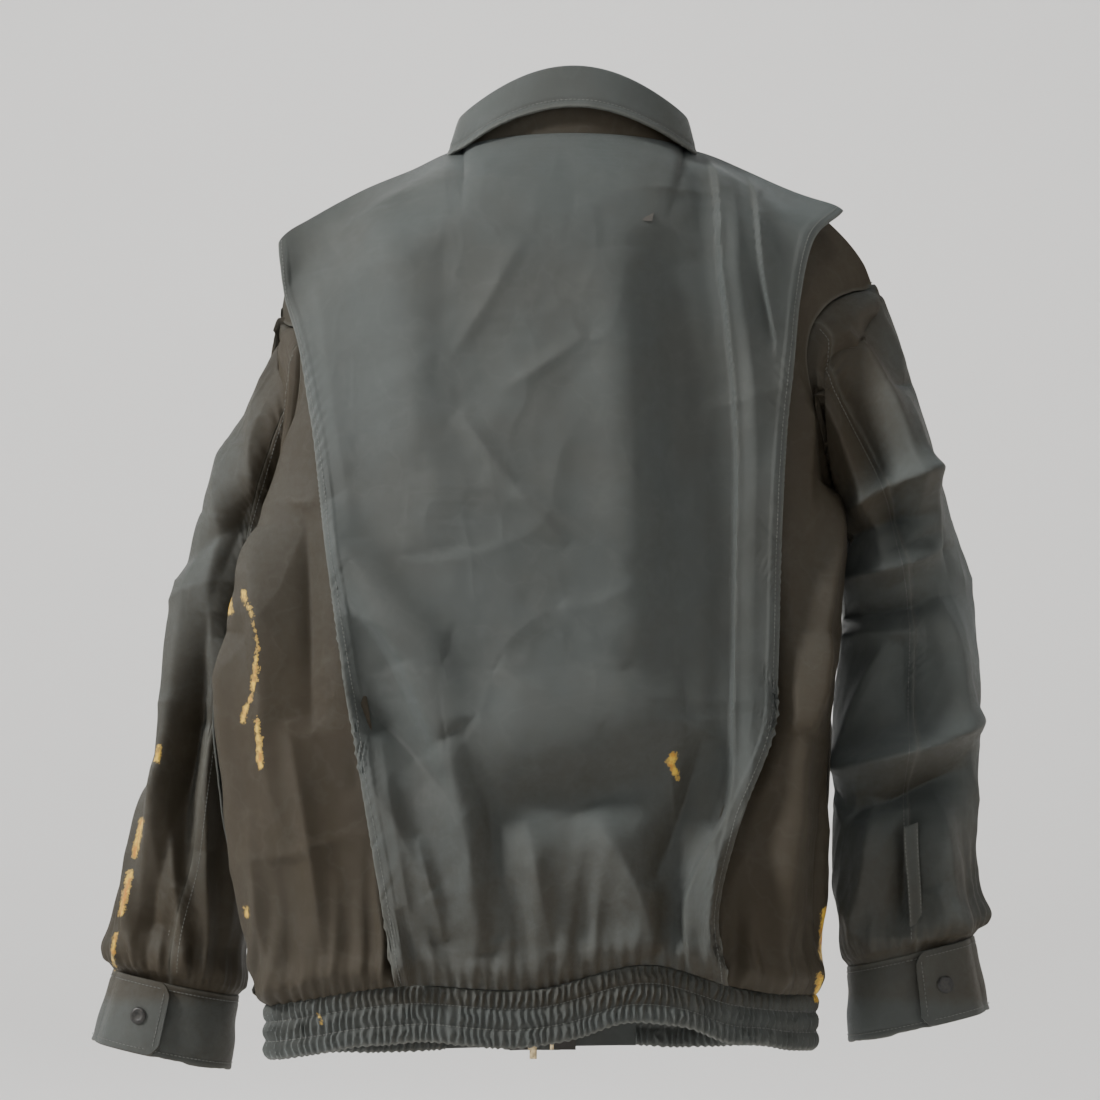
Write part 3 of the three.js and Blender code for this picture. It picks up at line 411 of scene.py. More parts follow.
def front_relief(p):
    """Folds of the two fronts, slack ones that fall from the shoulders and towards the zip."""
    total = 0
    for start, end, height, width, bow in [
        ((150, -150), (110, -520), 9, 30, 10), ((205, -260), (170, -600), 8, 24, -8),
        ((90, -420), (80, -680), 7, 20, 0), ((225, -480), (205, -670), 7, 16, 0),
        ((-120, -140), (-90, -500), 9, 30, -10), ((-175, -260), (-150, -600), 8, 22, 8),
        ((-60, -400), (-62, -680), 7, 19, 0), ((-185, -520), (-165, -670), 6, 14, 0),
        ((120, -120), (215, -190), 4, 16, -4), ((-110, -110), (-195, -170), 4, 16, 4),
        ((80, -350), (180, -440), -5, 22, 0), ((-60, -360), (-160, -450), -5, 22, 0),
    ]:
        total = total + fold(p, start, end, height, width, bow)
    return total


print("relief of the back at its pleat, mm:", back_relief(np.array([[-0.126, 0, -0.25]])) / MM)

# %% [markdown]
# ## Stitching
# A row of stitching is real thread: one short capsule for each stitch, laid along a line on the
# cloth. All the stitches of a row are one mesh, so a long row costs little.

# %% Stitching
STITCH_IN = 0.0055
stitch_rows = []


def stitch_row(line, normal, gap=0.0034, length=0.0024, thick=0.00034):
    """Remembers a row of stitches along a line of points, with the cloth's outward normal at
    each. Stitches are gap apart, and each is a low six-sided capsule half sunk in the cloth."""
    step = np.linalg.norm(np.diff(line, axis=0), axis=-1)
    s = np.concatenate([[0], np.cumsum(step)])
    at = np.arange(gap, s[-1] - gap, gap)
    if len(at) == 0:
        return
    pick = lambda values, where: np.stack([np.interp(where, s, values[:, k]) for k in range(3)], -1)
    middle, up = pick(line, at), pick(normal, at)
    along = pick(line, at + 0.001) - pick(line, at - 0.001)
    along /= np.linalg.norm(along, axis=-1, keepdims=True)
    up /= np.linalg.norm(up, axis=-1, keepdims=True)
    side = np.cross(along, up)
    u = np.array([-0.5, -0.38, 0.38, 0.5]) * length
    r = np.array([0.25, 1, 1, 0.25]) * thick
    lift = np.array([-0.4, 0.35, 0.35, -0.4]) * thick
    turn = np.arange(6) * np.pi / 3
    ring = (
        u[:, None, None] * along[:, None, None]
        + (r[:, None] * np.cos(turn))[..., None] * side[:, None, None]
        + (r[:, None] * np.sin(turn) + lift[:, None])[..., None] * up[:, None, None]
    )
    stitch_rows.append((middle[:, None, None] + ring).reshape(-1, 3))


def sew(name, body="jacket"):
    """Makes one mesh of every row remembered since the last call, and lets it ride on body."""
    points = np.concatenate(stitch_rows)
    stitch_rows.clear()
    k = np.arange(4 * 6).reshape(4, 6)
    wall = np.stack([k[:-1], np.roll(k, -1, 1)[:-1], np.roll(k, -1, 1)[1:], k[1:]], -1).reshape(-1, 4)
    start = 24 * np.arange(len(points) // 24)[:, None]
    faces = (np.tile(wall[:, ::-1], (len(start), 1)) + np.repeat(start, len(wall), 0)).tolist()
    faces += (k[0] + start).tolist() + (k[3, ::-1] + start).tolist()
    made = add_mesh(name, points, faces)
    dress(made, "thread", body)
    return made


replaced = {}


def dress(made, finish, body="jacket", nodes=()):
    """Notes a piece's finish, the CAD body that it moves with and the CAD nodes it stands for."""
    made["finish"] = finish
    replaced[made.name] = (body, list(nodes) if not isinstance(nodes, str) else [nodes])


# %% [markdown]
# ## The colour's three guides
# Where the cloth turns to the light it looks grey-green, and where it turns away, brown: that is
# painted light and shade, worked out from one fixed light direction. Paint lies in a few places.
# Both are worked out here as numbers at each point, which the material turns into colour.

# %% Shade and paint
LIGHT = np.array([0.42, 0.62, 0.66])
LIGHT = LIGHT / np.linalg.norm(LIGHT)
marks = {
    "smears": [
        ((273, -375), (271, -384), 3.0), ((259, -370), (258, -376), 2.4), ((257, -378), (253, -386), 1.6),
        ((252, -386), (247, -412), 0.9), ((246, -412), (249, -428), 1.2), ((248, -428), (250, -443), 2.6),
        ((256, -460), (259, -470), 2.4), ((250, -446), (256, -462), 1.6), ((247, -470), (246, -482), 2.0),
        ((245, -484), (244, -506), 2.6), ((257, -617), (256, -622), 2.4), ((334, -489), (336, -500), 2.6),
        ((350, -548), (357, -576), 3.2), ((360, -590), (367, -622), 3.4), ((372, -640), (375, -668), 2.0),
        ((-77, -498), (-74, -504), 3.4), ((-74, -504), (-79, -512), 3.0), ((-78, -512), (-80, -516), 1.6),
        ((199, -700), (197, -704), 1.4), ((95, -728), (96, -730), 1.6),
    ],
    "patch": [
        ((-203, -622), (-201, -655), 6.0), ((-205, -655), (-208, -672), 4.0),
        ((-194, -670), (-193, -690), 3.0),
    ],
}


def paint_at(p, normal):
    """Distance in millimetres from the paint: to the nearest of the marks, each a line with its
    own half width, and negative inside one. Only cloth that faces back or sideways takes any."""
    nearest = np.full(p.shape[:-1], 40.0)
    for start, end, half in marks["smears"] + marks["patch"]:
        a, b = np.array(start) * MM, np.array(end) * MM
        q = p[..., [0, 2]] - a
        u = np.clip((q @ (b - a)) / ((b - a) @ (b - a)), 0, 1)
        away = np.linalg.norm(q - u[..., None] * (b - a), axis=-1) / MM - half
        nearest = np.minimum(nearest, away)
    return nearest + 40 * smooth(-normal[..., 1], 0.1, 0.4)


def shade_at(p, normal, base):
    """0 is grey-green and 1 brown: the lean given to each panel, plus painted shade that browns the
    lower back, plus painted light and shade by how far the cloth turns from the light, plus random
    patches of tone.
    """
    # Painted light and shade: grey-green where the cloth faces the fixed light direction, brown where it
    # turns away.
    turned = 0.5 - 0.5 * (np.stack([normal[..., 0], np.abs(normal[..., 1]), normal[..., 2]], -1) @ LIGHT)
    # Painted shade: the lower back is browner towards the bottom, above the hem band.
    low = 0.42 * smooth(-p[..., 2], 0.38, 0.66) * (1 - smooth(-p[..., 2], 0.685, 0.70))
    patchy = 0.14 * noise(p[..., 0], p[..., 2], 0.12, 3)
    return np.clip(base + low + 0.95 * (turned - 0.27) + patchy, 0, 1)


def cloth(name, outer, thickness, out, base, rim, body="jacket", nodes=None, finish="cloth"):
    """A shell with its shade and paint worked out, dressed in cloth."""
    normal = normals_of(outer) * out
    made = shell(
        name, outer, thickness, out, rim=rim, shade=shade_at(outer, normal, base),
        paint=paint_at(outer, normal)
    )
    dress(made, finish, body, nodes or [name])
    return made


# %% [markdown]
# ## Body panels
# The back is one broad overlay whose two long edges are free. It is lapped over the brown panels
# at the sides, so those run on beneath it. Under each edge runs a row of stitching, and between
# the row and the edge the cloth puckers.

# %% Body panels
def body_grid(back, columns, rows, from_edge, to_edge, bunch=0.8):
    """A patch of the body between two edges, which give its c at each row. Rows bunch towards
    the shoulder as t^(1 / bunch)."""
    t = (np.linspace(0, 1, rows) ** (1 / bunch))[:, None]
    t = np.maximum(t, 0.0008)
    a = np.arccos(np.clip(from_edge(t), -1, 1))
    b = np.arccos(np.clip(to_edge(t), -1, 1))
    turn = mix(a, b, np.linspace(0, 1, columns)[None])
    return body_point(np.cos(turn), t + 0 * turn, back), t + 0 * turn


def edge_distances(grid):
    """Distance along the cloth from its first and from its last column."""
    run = lengths(grid, 1)
    return run, run[:, -1:] - run


LAP = 0.014
grid, t = body_grid(
    1, 271, 281, lambda t: cos_at(overlay_right(t), t), lambda t: cos_at(overlay_left(t), t)
)
normal = normals_of(grid)
from_right, from_left = edge_distances(grid)
edge = np.minimum(from_right, from_left)
down_edge = lengths(grid, 0)
wing = np.exp(-((t / 0.1) ** 2)) * np.exp(-((edge / 0.045) ** 2))
lift = 0.0085 * np.exp(-((edge / 0.018) ** 2)) + 0.013 * wing
relief = back_relief(grid) * smooth(edge, -0.006, 0.012) + crumple(grid[..., 0], grid[..., 2], 11)
relief = relief + 0.0011 * (1 - smooth(edge, 0.0105, 0.0125)) + 0.007 * strip_at(grid)
relief = relief + pucker(down_edge, edge, 5, 0.0013) * smooth(t, 0.1, 0.25)
relief = relief + gathers(grid[..., 0], down_edge[-1:] - down_edge, 21)
relief = relief * smooth(t, 0, 0.05)
rearward = normal * [0.25, 1, 0.4] + np.array([0, 0.35, 0.0])
rearward /= np.linalg.norm(rearward, axis=-1, keepdims=True)
back = grid + normal * 0.0020 + rearward * (lift + relief)[..., None]
tip = np.exp(-((t / 0.05) ** 2)) * np.exp(-((edge / 0.03) ** 2))
back[..., 0] += np.sign(grid[..., 0]) * 0.009 * tip
over = np.clip(back[..., 1] - 0.105, 0, None)
back[..., 1] += 0.012 * np.tanh(over / 0.012) - over
cloth("back_panel", back, 0.0016, 1, 0.02, edge)
normal = normals_of(back)
for side, run in ((0, from_right), (1, from_left)):
    rows_at = np.arange(len(back))
    where = np.array(
        [np.interp(STITCH_IN, run[j] if side == 0 else run[j, ::-1], np.arange(271)) for j in rows_at]
    )
    where = where if side == 0 else 270 - where
    low = np.clip(where.astype(int), 0, 269)
    part = (where - low)[:, None]
    line = mix(back[rows_at, low], back[rows_at, low + 1], part)
    stitch_row(line, normal[rows_at, low])

for name, from_edge, to_edge, sign_ in (
    ("side_back_right", lambda t: armhole(t, -1), lambda t: cos_at(overlay_right(t) + LAP, t), -1),
    ("side_back_left", lambda t: cos_at(overlay_left(t) - LAP, t), lambda t: armhole(t, 1), 1),
):
    grid, t = body_grid(1, 121, 281, from_edge, to_edge)
    normal = normals_of(grid)
    first, last = edge_distances(grid)
    lapped = last if sign_ < 0 else first
    outer_edge = first if sign_ < 0 else last
    keep = smooth(outer_edge, 0.0, 0.03) * smooth(lapped, 0.008, 0.024)
    below = lengths(grid, 0)[-1:] - lengths(grid, 0)
    relief = side_relief(grid) * keep
    relief = relief + crumple(grid[..., 0], grid[..., 2], 31) * smooth(lapped, 0.004, 0.02)
    relief = relief + gathers(grid[..., 0] * 1.0, below, 47, 0.021, 0.008) * smooth(lapped, 0.006, 0.02)
    relief = relief * smooth(t, 0, 0.05) - 0.0006 * smooth(-lapped, -0.016, 0)
    panel = grid + normal * (CLOTH + relief)[..., None]
    cloth(name, panel, CLOTH, 1, 0.92, outer_edge)

for name, from_edge, to_edge, sign_ in (
    ("front_right", lambda t: armhole(t, -1), lambda t: cos_at(RIGHT_EDGE, t), -1),
    ("front_left", lambda t: cos_at(LEFT_EDGE, t), lambda t: armhole(t, 1), 1),
):
    grid, t = body_grid(0, 181, 241, from_edge, to_edge)
    normal = -normals_of(grid)
    first, last = edge_distances(grid)
    zip_side = last if sign_ < 0 else first
    below = lengths(grid, 0)[-1:] - lengths(grid, 0)
    relief = front_relief(grid) * smooth(np.minimum(first, last), 0.004, 0.035)
    relief = relief + crumple(grid[..., 0], grid[..., 2], 61)
    relief = relief + gathers(grid[..., 0], below, 53, 0.024, 0.007) * smooth(zip_side, 0.03, 0.075)
    relief = relief * smooth(t, 0, 0.05) * smooth(zip_side, 0.0, 0.03)
    panel = grid + normal * (CLOTH + relief)[..., None]
    panel[-1, :, 2] -= 0.0035
    cloth(name, panel, CLOTH, -1, 0.12, zip_side)
print("body panels:", [n for n in shown])

# %% [markdown]
# ## Sleeves
# A sleeve is a tube that starts round the armhole's seam, hangs beside the body without entering
# it and narrows to the cuff. Its outer half and inner half are separate panels, seamed down the
# back and the front. An arm that bent for years leaves creases at the elbow.

# %% The sleeves' shape
ARMS = {
    "left": {
        "sign": 1,
        "x": [
            (0, 0.99), (0.25, 1.06), (0.43, 1.13), (0.55, 1.18), (0.66, 1.235), (0.82, 1.285),
            (1, 1.345)
        ],
        "width": [
            (0, 0.09), (0.25, 0.11), (0.43, 0.14), (0.55, 0.165), (0.7, 0.195), (0.85, 0.215),
            (1, 0.215)
        ],
        "y": [(0, 0), (0.2, -30), (0.35, -56), (0.5, -72), (0.7, -82), (1, -84)],
        "depth": [(0, 60), (0.3, 58), (0.5, 54), (0.8, 47), (1, 40)],
        "cuff": {"x": 1.362, "top": 1.0, "y": -84, "half": 50, "lean": 12, "drift": 12},
    },
    "right": {
        "sign": -1,
        "x": [(0, 0.95), (0.2, 1.0), (0.35, 1.07), (0.48, 1.13), (0.62, 1.135), (0.8, 1.12), (1, 1.13)],
        "width": [
            (0, 0.1), (0.2, 0.18), (0.35, 0.205), (0.48, 0.215), (0.62, 0.235), (0.8, 0.245), (1, 0.22)
        ],
        "y": [(0, 0), (0.2, -16), (0.4, -30), (0.7, -38), (1, -36)],
        "depth": [(0, 60), (0.3, 55), (0.6, 50), (1, 42)],
        "cuff": {"x": 1.137, "top": 0.96, "y": -36, "half": 50, "lean": 14, "drift": 6},
    },
}
CUFF_HEIGHT = 0.060
CUFF_THICK = 0.003
SEAM = 0.0004


def cuff_point(arm, turn, drop, swell):
    """A point of the ring that a cuff follows: an ellipse, 0.78 as deep as wide, that leans. turn
    is 0 on the outer side, a quarter turn at the back and half a turn against the body."""
    cuff = arm["cuff"]
    lean = math.radians(cuff["lean"])
    half = cuff["half"] * MM + drop * 6 * MM / CUFF_HEIGHT + swell
    reach = half * np.cos(turn)
    x = cuff["x"] * HALF_CHEST + cuff["drift"] * MM * drop / CUFF_HEIGHT + reach * math.cos(lean)
    z = -cuff["top"] * BACK_LENGTH - drop + reach * math.sin(lean)
    return np.stack(
        np.broadcast_arrays(arm["sign"] * x, cuff["y"] * MM + half * 0.78 * np.sin(turn), z), -1
    )


def beside_body(p, room):
    """Moves points that lie inside the body, grown by room, out to its side: at each height the
    body is an ellipse, and a point at a share r < 1 of its radius moves out by 1 / r."""
    found = p.copy()
    end = np.where(p[..., 0] > 0, body_point(1.0, 0.0, 1)[2], body_point(-1.0, 0.0, 1)[2])
    for _ in range(6):
        t = np.clip((end - p[..., 2]) / (end + 1.01 * BACK_LENGTH), 0, 1)
        for _ in range(8):
            here = np.clip(cos_at(found[..., 0], t), -1, 1)
            top = body_point(here, 0 * here, 1)[..., 2]
            t = np.clip((top - p[..., 2]) / (top - body_point(here, 0 * here + 1, 1)[..., 2]), 0, 1)
        middle = (side_left(t) + side_right(t)) / 2
        c = (found[..., 0] - middle) / ((side_left(t) - side_right(t)) / 2 + room)
        y0 = np.where(c > 0, side_back_left(t), side_back_right(t))
        behind, ahead = back_depth(t) - y0 + room, front_depth(t) + y0 + room
        half = np.where(found[..., 1] > y0, behind, ahead)
        r = np.sqrt(c * c + ((found[..., 1] - y0) / half) ** 2)
        grow = np.where(r < 1, 1 / np.maximum(r, 0.3), 1)
        found[..., 0] = middle + (found[..., 0] - middle) * grow
        found[..., 1] = y0 + (found[..., 1] - y0) * grow
    return found


def sleeve_point(arm, turn, t):
    """A point of a sleeve: turn as in cuff_point, t from 0 at the armhole to 1 at the cuff. The
    seam's own place fades out over the first third as (1 - u)^2 (1 + 2u)."""
    x, width = (curve_through(arm[key], HALF_CHEST) for key in ("x", "width"))
    y, depth = (curve_through(arm[key], MM) for key in ("y", "depth"))
    sign = arm["sign"]
    turn = np.mod(turn, 2 * np.pi)
    share = np.where(turn > np.pi, 2 * np.pi - turn, turn) / np.pi
    row = ARMHOLE_END * share**1.3
    c = armhole(row, sign)
    seam = np.where((np.sin(turn) >= 0)[..., None], body_point(c, row, 1), body_point(c, row, 0))
    seam[..., 0] += sign * mix(SEAM + 0.6 * MM, CLOTH + 0.036 * FRONT_DEPTH, share)
    seam[..., 2] -= SEAM
    end = cuff_point(arm, turn, -1.2 * MM, 3 * MM)
    z = mix(seam[..., 2], end[..., 2], t)
    high = -0.17 * BACK_LENGTH
    at = np.clip((high - z) / (high - end[..., 2]), 0, 1)
    start = np.clip((high - seam[..., 2]) / (high - end[..., 2]), 0, 1)
    hold = (1 - np.clip(t / 0.3, 0, 1)) ** 2 * (1 + 2 * np.clip(t / 0.3, 0, 1))
    close = smooth(t, 0.8, 1)
    tube_x = sign * ((x(at) + width(at) * np.cos(turn)) - (x(start) + width(start) * np.cos(turn)) * hold)
    tube_y = y(at) + depth(at) * np.sin(turn) - (y(start) + depth(start) * np.sin(turn)) * hold
    free_x, free_y = tube_x + seam[..., 0] * hold, tube_y + seam[..., 1] * hold
    point = np.stack([mix(free_x, end[..., 0], close), mix(free_y, end[..., 1], close), z], -1)
    out = beside_body(point, CLOTH + 6 * MM)
    return mix(seam, out, smooth(t + 0 * turn, 0, 0.02)[..., None])


def sleeve_relief(side, p, facing_back):
    """Folds of a sleeve. Those seen from behind fade out round its sides."""
    total = 0
    if side == "right":
        listed = [
            ((-200, -140), (-276, -322), 17, 14, 10), ((-186, -195), (-256, -360), 15, 12, 8),
            ((-206, -196), (-262, -330), -10, 10, 8), ((-222, -300), (-290, -268), 13, 10, 5),
            ((-214, -326), (-284, -304), -9, 8, 4), ((-208, -352), (-294, -330), 15, 11, -5),
            ((-214, -382), (-292, -372), -11, 9, -4), ((-206, -404), (-280, -400), 9, 12, 6),
            ((-206, -508), (-322, -462), 26, 17, -8), ((-214, -540), (-318, -506), -18, 13, -4),
            ((-252, -405), (-216, -510), 12, 13, -5), ((-290, -370), (-302, -480), 13, 15, 6),
            ((-262, -400), (-268, -480), -7, 10, 0), ((-238, -530), (-226, -660), 12, 11, 2),
            ((-292, -520), (-304, -650), 13, 13, -4), ((-266, -540), (-262, -640), -8, 11, 0),
            ((-225, -85), (-266, -195), 9, 14, 5), ((-258, -200), (-296, -330), 10, 14, -6),
            ((-210, -590), (-246, -662), 8, 9, 0), ((-284, -600), (-312, -660), 7, 8, 0),
        ]
    else:
        listed = [
            ((258, -160), (300, -570), 14, 10, -6), ((272, -220), (334, -630), 15, 11, -9),
            ((286, -300), (356, -655), 13, 10, 5), ((242, -160), (262, -310), 10, 11, 0),
            ((298, -470), (300, -675), 13, 9, 0), ((322, -500), (318, -675), 12, 9, 0),
            ((278, -400), (284, -650), 12, 9, 6), ((344, -520), (364, -672), 10, 9, 0),
            ((250, -280), (306, -352), -9, 12, 0), ((268, -300), (316, -600), -9, 8, -8),
            ((284, -380), (344, -640), -8, 7, 4), ((262, -420), (272, -560), -8, 9, 4),
        ]
    for start, end, height, width, bow in listed:
        total = total + fold(p, start, end, height, width, bow)
    return total * facing_back * (1.6 if side == "right" else 1.3)


print("left cuff's foot, mm:", np.round(cuff_point(ARMS["left"], 0.0, CUFF_HEIGHT, 0) / MM))

# %% Sleeve panels
for side, arm in ARMS.items():
    sign = arm["sign"]
    for part, start in (("upper", -0.5), ("under", 0.5)):
        turn = (start + np.linspace(-0.004, 1.004, 141))[None] * np.pi
        t = (np.linspace(0, 1, 301) ** 1.1)[:, None]
        turn, t = np.broadcast_arrays(turn, t)
        grid = sleeve_point(arm, turn, t)
        out = -sign
        normal = normals_of(grid) * out
        first, last = edge_distances(grid)
        edge = np.minimum(first, last)
        run = lengths(grid, 0)
        below = run[-1:] - run
        facing_back = smooth(np.sin(turn), -0.15, 0.45)
        other = 1 - facing_back
        around = turn * 0.055
        relief = sleeve_relief(side, grid, facing_back)
        relief = relief + other * 0.006 * noise(around * 1.3, run * 0.35, 0.03, 71 + sign)
        relief = relief + crumple(around, run, 81 + sign, 0.0016)
        relief = relief + pucker(run, edge, 91, 0.0006)
        relief = relief + gathers(around, below, 59 + sign, 0.019, 0.0045) * smooth(t, 0.7, 0.9)
        towards_body = smooth(-np.cos(turn), 0.1, 0.8)
        relief = np.where(relief > 0, relief * (1 - 0.45 * towards_body), relief)
        relief = relief * smooth(t, 0.0, 0.03) * (1 - smooth(t, 0.985, 1))
        relief = relief - 0.0008 * np.exp(-edge / 0.0022)
        tucked = np.clip(1 - np.arange(301) / 3, 0, 1)[:, None]
        panel = grid + normal * (relief - 0.0022 * tucked)[..., None]
        panel[..., 0] -= sign * 0.007 * tucked
        # The left sleeve's higher lean is painted shade: it hangs behind the body's bulge, out of the
        # light.
        base = 0.50 if side == "left" else 0.10
        # brown is painted shade: the upper sleeve next to the body, under the overlay's wing, is browner.
        near_body = np.exp(-(((grid[..., 0] - sign * 0.205) / 0.045) ** 2))
        brown = 0.75 * near_body * smooth(grid[..., 2], -0.42, -0.25)
        panel[-2:] = cuff_point(arm, turn[-2:], np.array([[0.6], [3.0]]) * MM, 1.5 * MM)
        made = cloth(f"sleeve_{part}_{side}", panel, CLOTH, out, base + brown, edge)
        if part == "under":
            line = np.argmax(first[150] > 0.0045)
            stitch_row(panel[4:-4, line], normal[4:-4, line])
print("sleeves:", len(shown), "pieces so far")

# %% Slit strips
for side, arm in ARMS.items():
    turn, t = np.broadcast_arrays(
        np.pi / 2 + np.linspace(-0.1, 0.1, 13)[None], np.linspace(0.8, 0.965, 61)[:, None])
    grid = sleeve_point(arm, turn, t)
    grid[..., 1] += 0.0045 + 0.0008 * noise(grid[..., 0], grid[..., 2], 0.015, 9)
    out = 1 if normals_of(grid)[30, 6, 1] > 0 else -1
    first, last = edge_distances(grid)
    cloth(f"slit_strip_{side}", grid, 0.0012, out, 0.1, np.minimum(first, last))
    normal = normals_of(grid) * out
    for column in (1, 11):
        stitch_row(grid[2:-2, column], normal[2:-2, column])

# %% [markdown]
# ## Cuffs
# Each cuff is a stiff double band, open at one place, where a tab laps over it and snaps shut.
# Its outline is a flat rectangle with rounded corners, swept round the wrist.

# %% Cuffs
DEGREE = np.pi / 180
TAB_TURN, TAB_END = 25 * DEGREE, 92 * DEGREE
BAND_END = 58 * DEGREE - 2 * np.pi
SNAP_TURN = 71 * DEGREE
SNAP_ROOM = 0.0032


def frames_of(arm, turn):
    """The cuff's top edge at each turn, with the directions out of it and up it."""
    at = cuff_point(arm, turn, 0.0, 0.0)
    ahead = cuff_point(arm, turn + 0.01, 0.0, 0.0)
    up = at - cuff_point(arm, turn, CUFF_HEIGHT, 0.0)
    up /= np.linalg.norm(up, axis=-1, keepdims=True)
    side = np.cross(ahead - at, up)
    side /= np.linalg.norm(side, axis=-1, keepdims=True)
    outward = cuff_point(arm, turn, 0.0, 0.001) - at
    return at, side * np.sign((side * outward).sum(-1, keepdims=True)), up


def slab(inner, outer, top, foot, corner, steps=26):
    """The outline of a folded band, as (out, up) pairs: a rectangle whose corners are quarter
    circles of radius corner, with steps points up each long side."""
    inner, outer, top, foot = np.broadcast_arrays(
        *(np.asarray(v, float)[..., None] for v in (inner, outer, top, foot))
    )
    quarter = np.linspace(0, np.pi / 2, 4)
    r = corner
    long_side = np.linspace(0, 1, steps)
    parts = [
        (outer + 0 * long_side, mix(foot + r, top - r, long_side)),
        (outer - r + r * np.cos(quarter[1:]), top - r + r * np.sin(quarter[1:])),
        (inner + r - r * np.sin(quarter), top - r + r * np.cos(quarter)),
        (inner + 0 * long_side[1:], mix(top - r, foot + r, long_side[1:])),
        (inner + r - r * np.cos(quarter[1:]), foot + r - r * np.sin(quarter[1:])),
        (outer - r + r * np.sin(quarter[:-1]), foot + r - r * np.cos(quarter[:-1])),
    ]
    return np.concatenate([p[0] for p in parts], -1), np.concatenate([p[1] for p in parts], -1)


def sweep(frames, outline):
    """Rings of points from frames (place, out, up) and an outline of (out, up) numbers."""
    at, side, up = (f[:, None] for f in frames)
    return at + outline[0][..., None] * side + outline[1][..., None] * up


def cloth_loop(name, rings, base, body="jacket", nodes=None, finish="cloth", rim=None):
    """A folded band of cloth from its rings, with its shade and paint."""
    n = np.cross(np.gradient(rings, axis=1), np.gradient(rings, axis=0))
    n /= np.maximum(np.linalg.norm(n, axis=-1, keepdims=True), 1e-12)
    away = rings - rings.mean(1, keepdims=True)
    n *= np.sign((n * away).sum())
    rim = np.full(rings.shape[:2], 0.02) if rim is None else rim
    made = loop(name, rings, rim=rim, shade=shade_at(rings, n, base), paint=paint_at(rings, n))
    dress(made, finish, body, nodes or [name])
    return made


for side, arm in ARMS.items():
    # The left cuff's higher lean is painted shade, as on the left sleeve.
    base = 0.32 if side == "left" else 0.1
    turn = np.linspace(TAB_TURN - SEAM / 0.05, BAND_END, 300)
    frames = frames_of(arm, turn)
    wavy = 0.0012 * noise(turn * 0.05, turn * 0, 0.016, 5)
    wavy = wavy + 0.0006 * noise(turn * 0.05, turn * 0, 0.006, 6)
    o, u = slab(0 * turn, CUFF_THICK + 0 * turn, 0 * turn, -CUFF_HEIGHT + wavy, 0.0011)
    share = np.clip(-u / CUFF_HEIGHT, 0, 1)
    o = o + (0.0012 * noise(turn[:, None] * 0.05, u, 0.02, 15)) * np.sin(np.pi * share) ** 0.7
    o = o - 0.0006 * np.exp(-(((u + 0.005) / 0.0016) ** 2)) * np.sign(o - CUFF_THICK / 2)
    o = o - 0.0006 * np.exp(-(((u + CUFF_HEIGHT - 0.005) / 0.0016) ** 2)) * np.sign(o - CUFF_THICK / 2)
    band = sweep(frames, (o, u))
    cloth_loop(f"cuff_band_{side}", band, base, rim=np.minimum(share, 1 - share) * CUFF_HEIGHT)
    for level in (0.005, CUFF_HEIGHT - 0.005):
        stitch_row(frames[0] + frames[1] * (CUFF_THICK + 0.0001) - frames[2] * level, frames[1])

    f = np.linspace(0, 1, 120)
    turn = mix(TAB_TURN + SEAM / 0.05, TAB_END, f)
    frames = frames_of(arm, turn)
    rise = smooth(f, 0, 0.35)
    inner = (SNAP_ROOM + CUFF_THICK) * rise
    round_ = 0.009 * np.clip((f - 0.87) / 0.13, 0, 1) ** 2
    outline = slab(inner, inner + CUFF_THICK, -round_, -CUFF_HEIGHT + round_, 0.0011)
    tab = sweep(frames, outline)
    body = f"cuff_tab_{side}"
    cloth_loop(f"cuff_tab_{side}", tab, base, body)
    line = (inner + CUFF_THICK + 0.0001)[:, None] * frames[1] + frames[0]
    keep = f < 0.93
    for level in (0.005, CUFF_HEIGHT - 0.005):
        level = np.where(level < 0.03, level + round_, level - round_)[:, None]
        stitch_row((line - frames[2] * level)[keep], frames[1][keep])
    last = np.argmax(f > 0.93)
    drop = np.linspace(0.006, CUFF_HEIGHT - 0.006, 30)[:, None]
    stitch_row(line[last] - frames[2][last] * drop, np.repeat(frames[1][last][None], 30, 0))
    sew(f"tab_stitches_{side}", body)
print("cuffs:", [n for n in shown if "cuff" in n])

# %% [markdown]
# ## Collar
# The stand is a straight strip round the neck, taller behind. The leaf is sewn to its top, rolls
# over and falls outside it, stiff enough to stand off the back.

# %% Collar
STAND_BACK, STAND_SIDE = 0.046, 0.022


def neck_turn(x, back):
    """The turn round the neck hole at x, negative in front."""
    return back * math.acos(max(-1, min(1, x / NECK_HALF)))


def neck_frames(turn):
    """The neck's edge, with the directions out of the collar and up."""
    x = NECK_HALF * np.cos(turn)
    c = cos_at(x, 0.0)
    zero = 0 * turn
    at = np.where((np.sin(turn) >= 0)[:, None], body_point(c, zero, 1), body_point(c, zero, 0))
    at[:, 2] += 2.3 * MM
    depth = np.where(np.sin(turn) > 0, 0.062, NECK_HALF)
    side = np.stack([np.cos(turn) / NECK_HALF, np.sin(turn) / depth, zero], -1)
    side /= np.linalg.norm(side, axis=-1, keepdims=True)
    return at, side, np.tile([0.0, 0.0, 1.0], (len(turn), 1))


collar_from = neck_turn(LEFT_EDGE + 0.004, -1)
collar_to = 2 * np.pi + neck_turn(RIGHT_EDGE - 0.004, -1)
turn = np.linspace(collar_from, collar_to, 261)
frames = neck_frames(turn)
behind = np.clip(np.sin(turn), 0, None)
height = mix(STAND_SIDE - 0.005, STAND_BACK, behind**2.4)
up = np.linspace(0, 1, 25)[None]
o = 0.001 + 0.0007 * noise(turn[:, None] * 0.08, up * 0.03, 0.02, 2)
stand = frames[0][:, None] + o[..., None] * frames[1][:, None]
stand = stand + (mix(-0.0055, height[:, None], up))[..., None] * frames[2][:, None]
out = 1 if (normals_of(stand) * frames[1][:, None]).sum() > 0 else -1
cloth("collar_stand", stand, 0.002, out, 0.85, np.minimum(up, 1 - up) * height[:, None] + 0 * o)

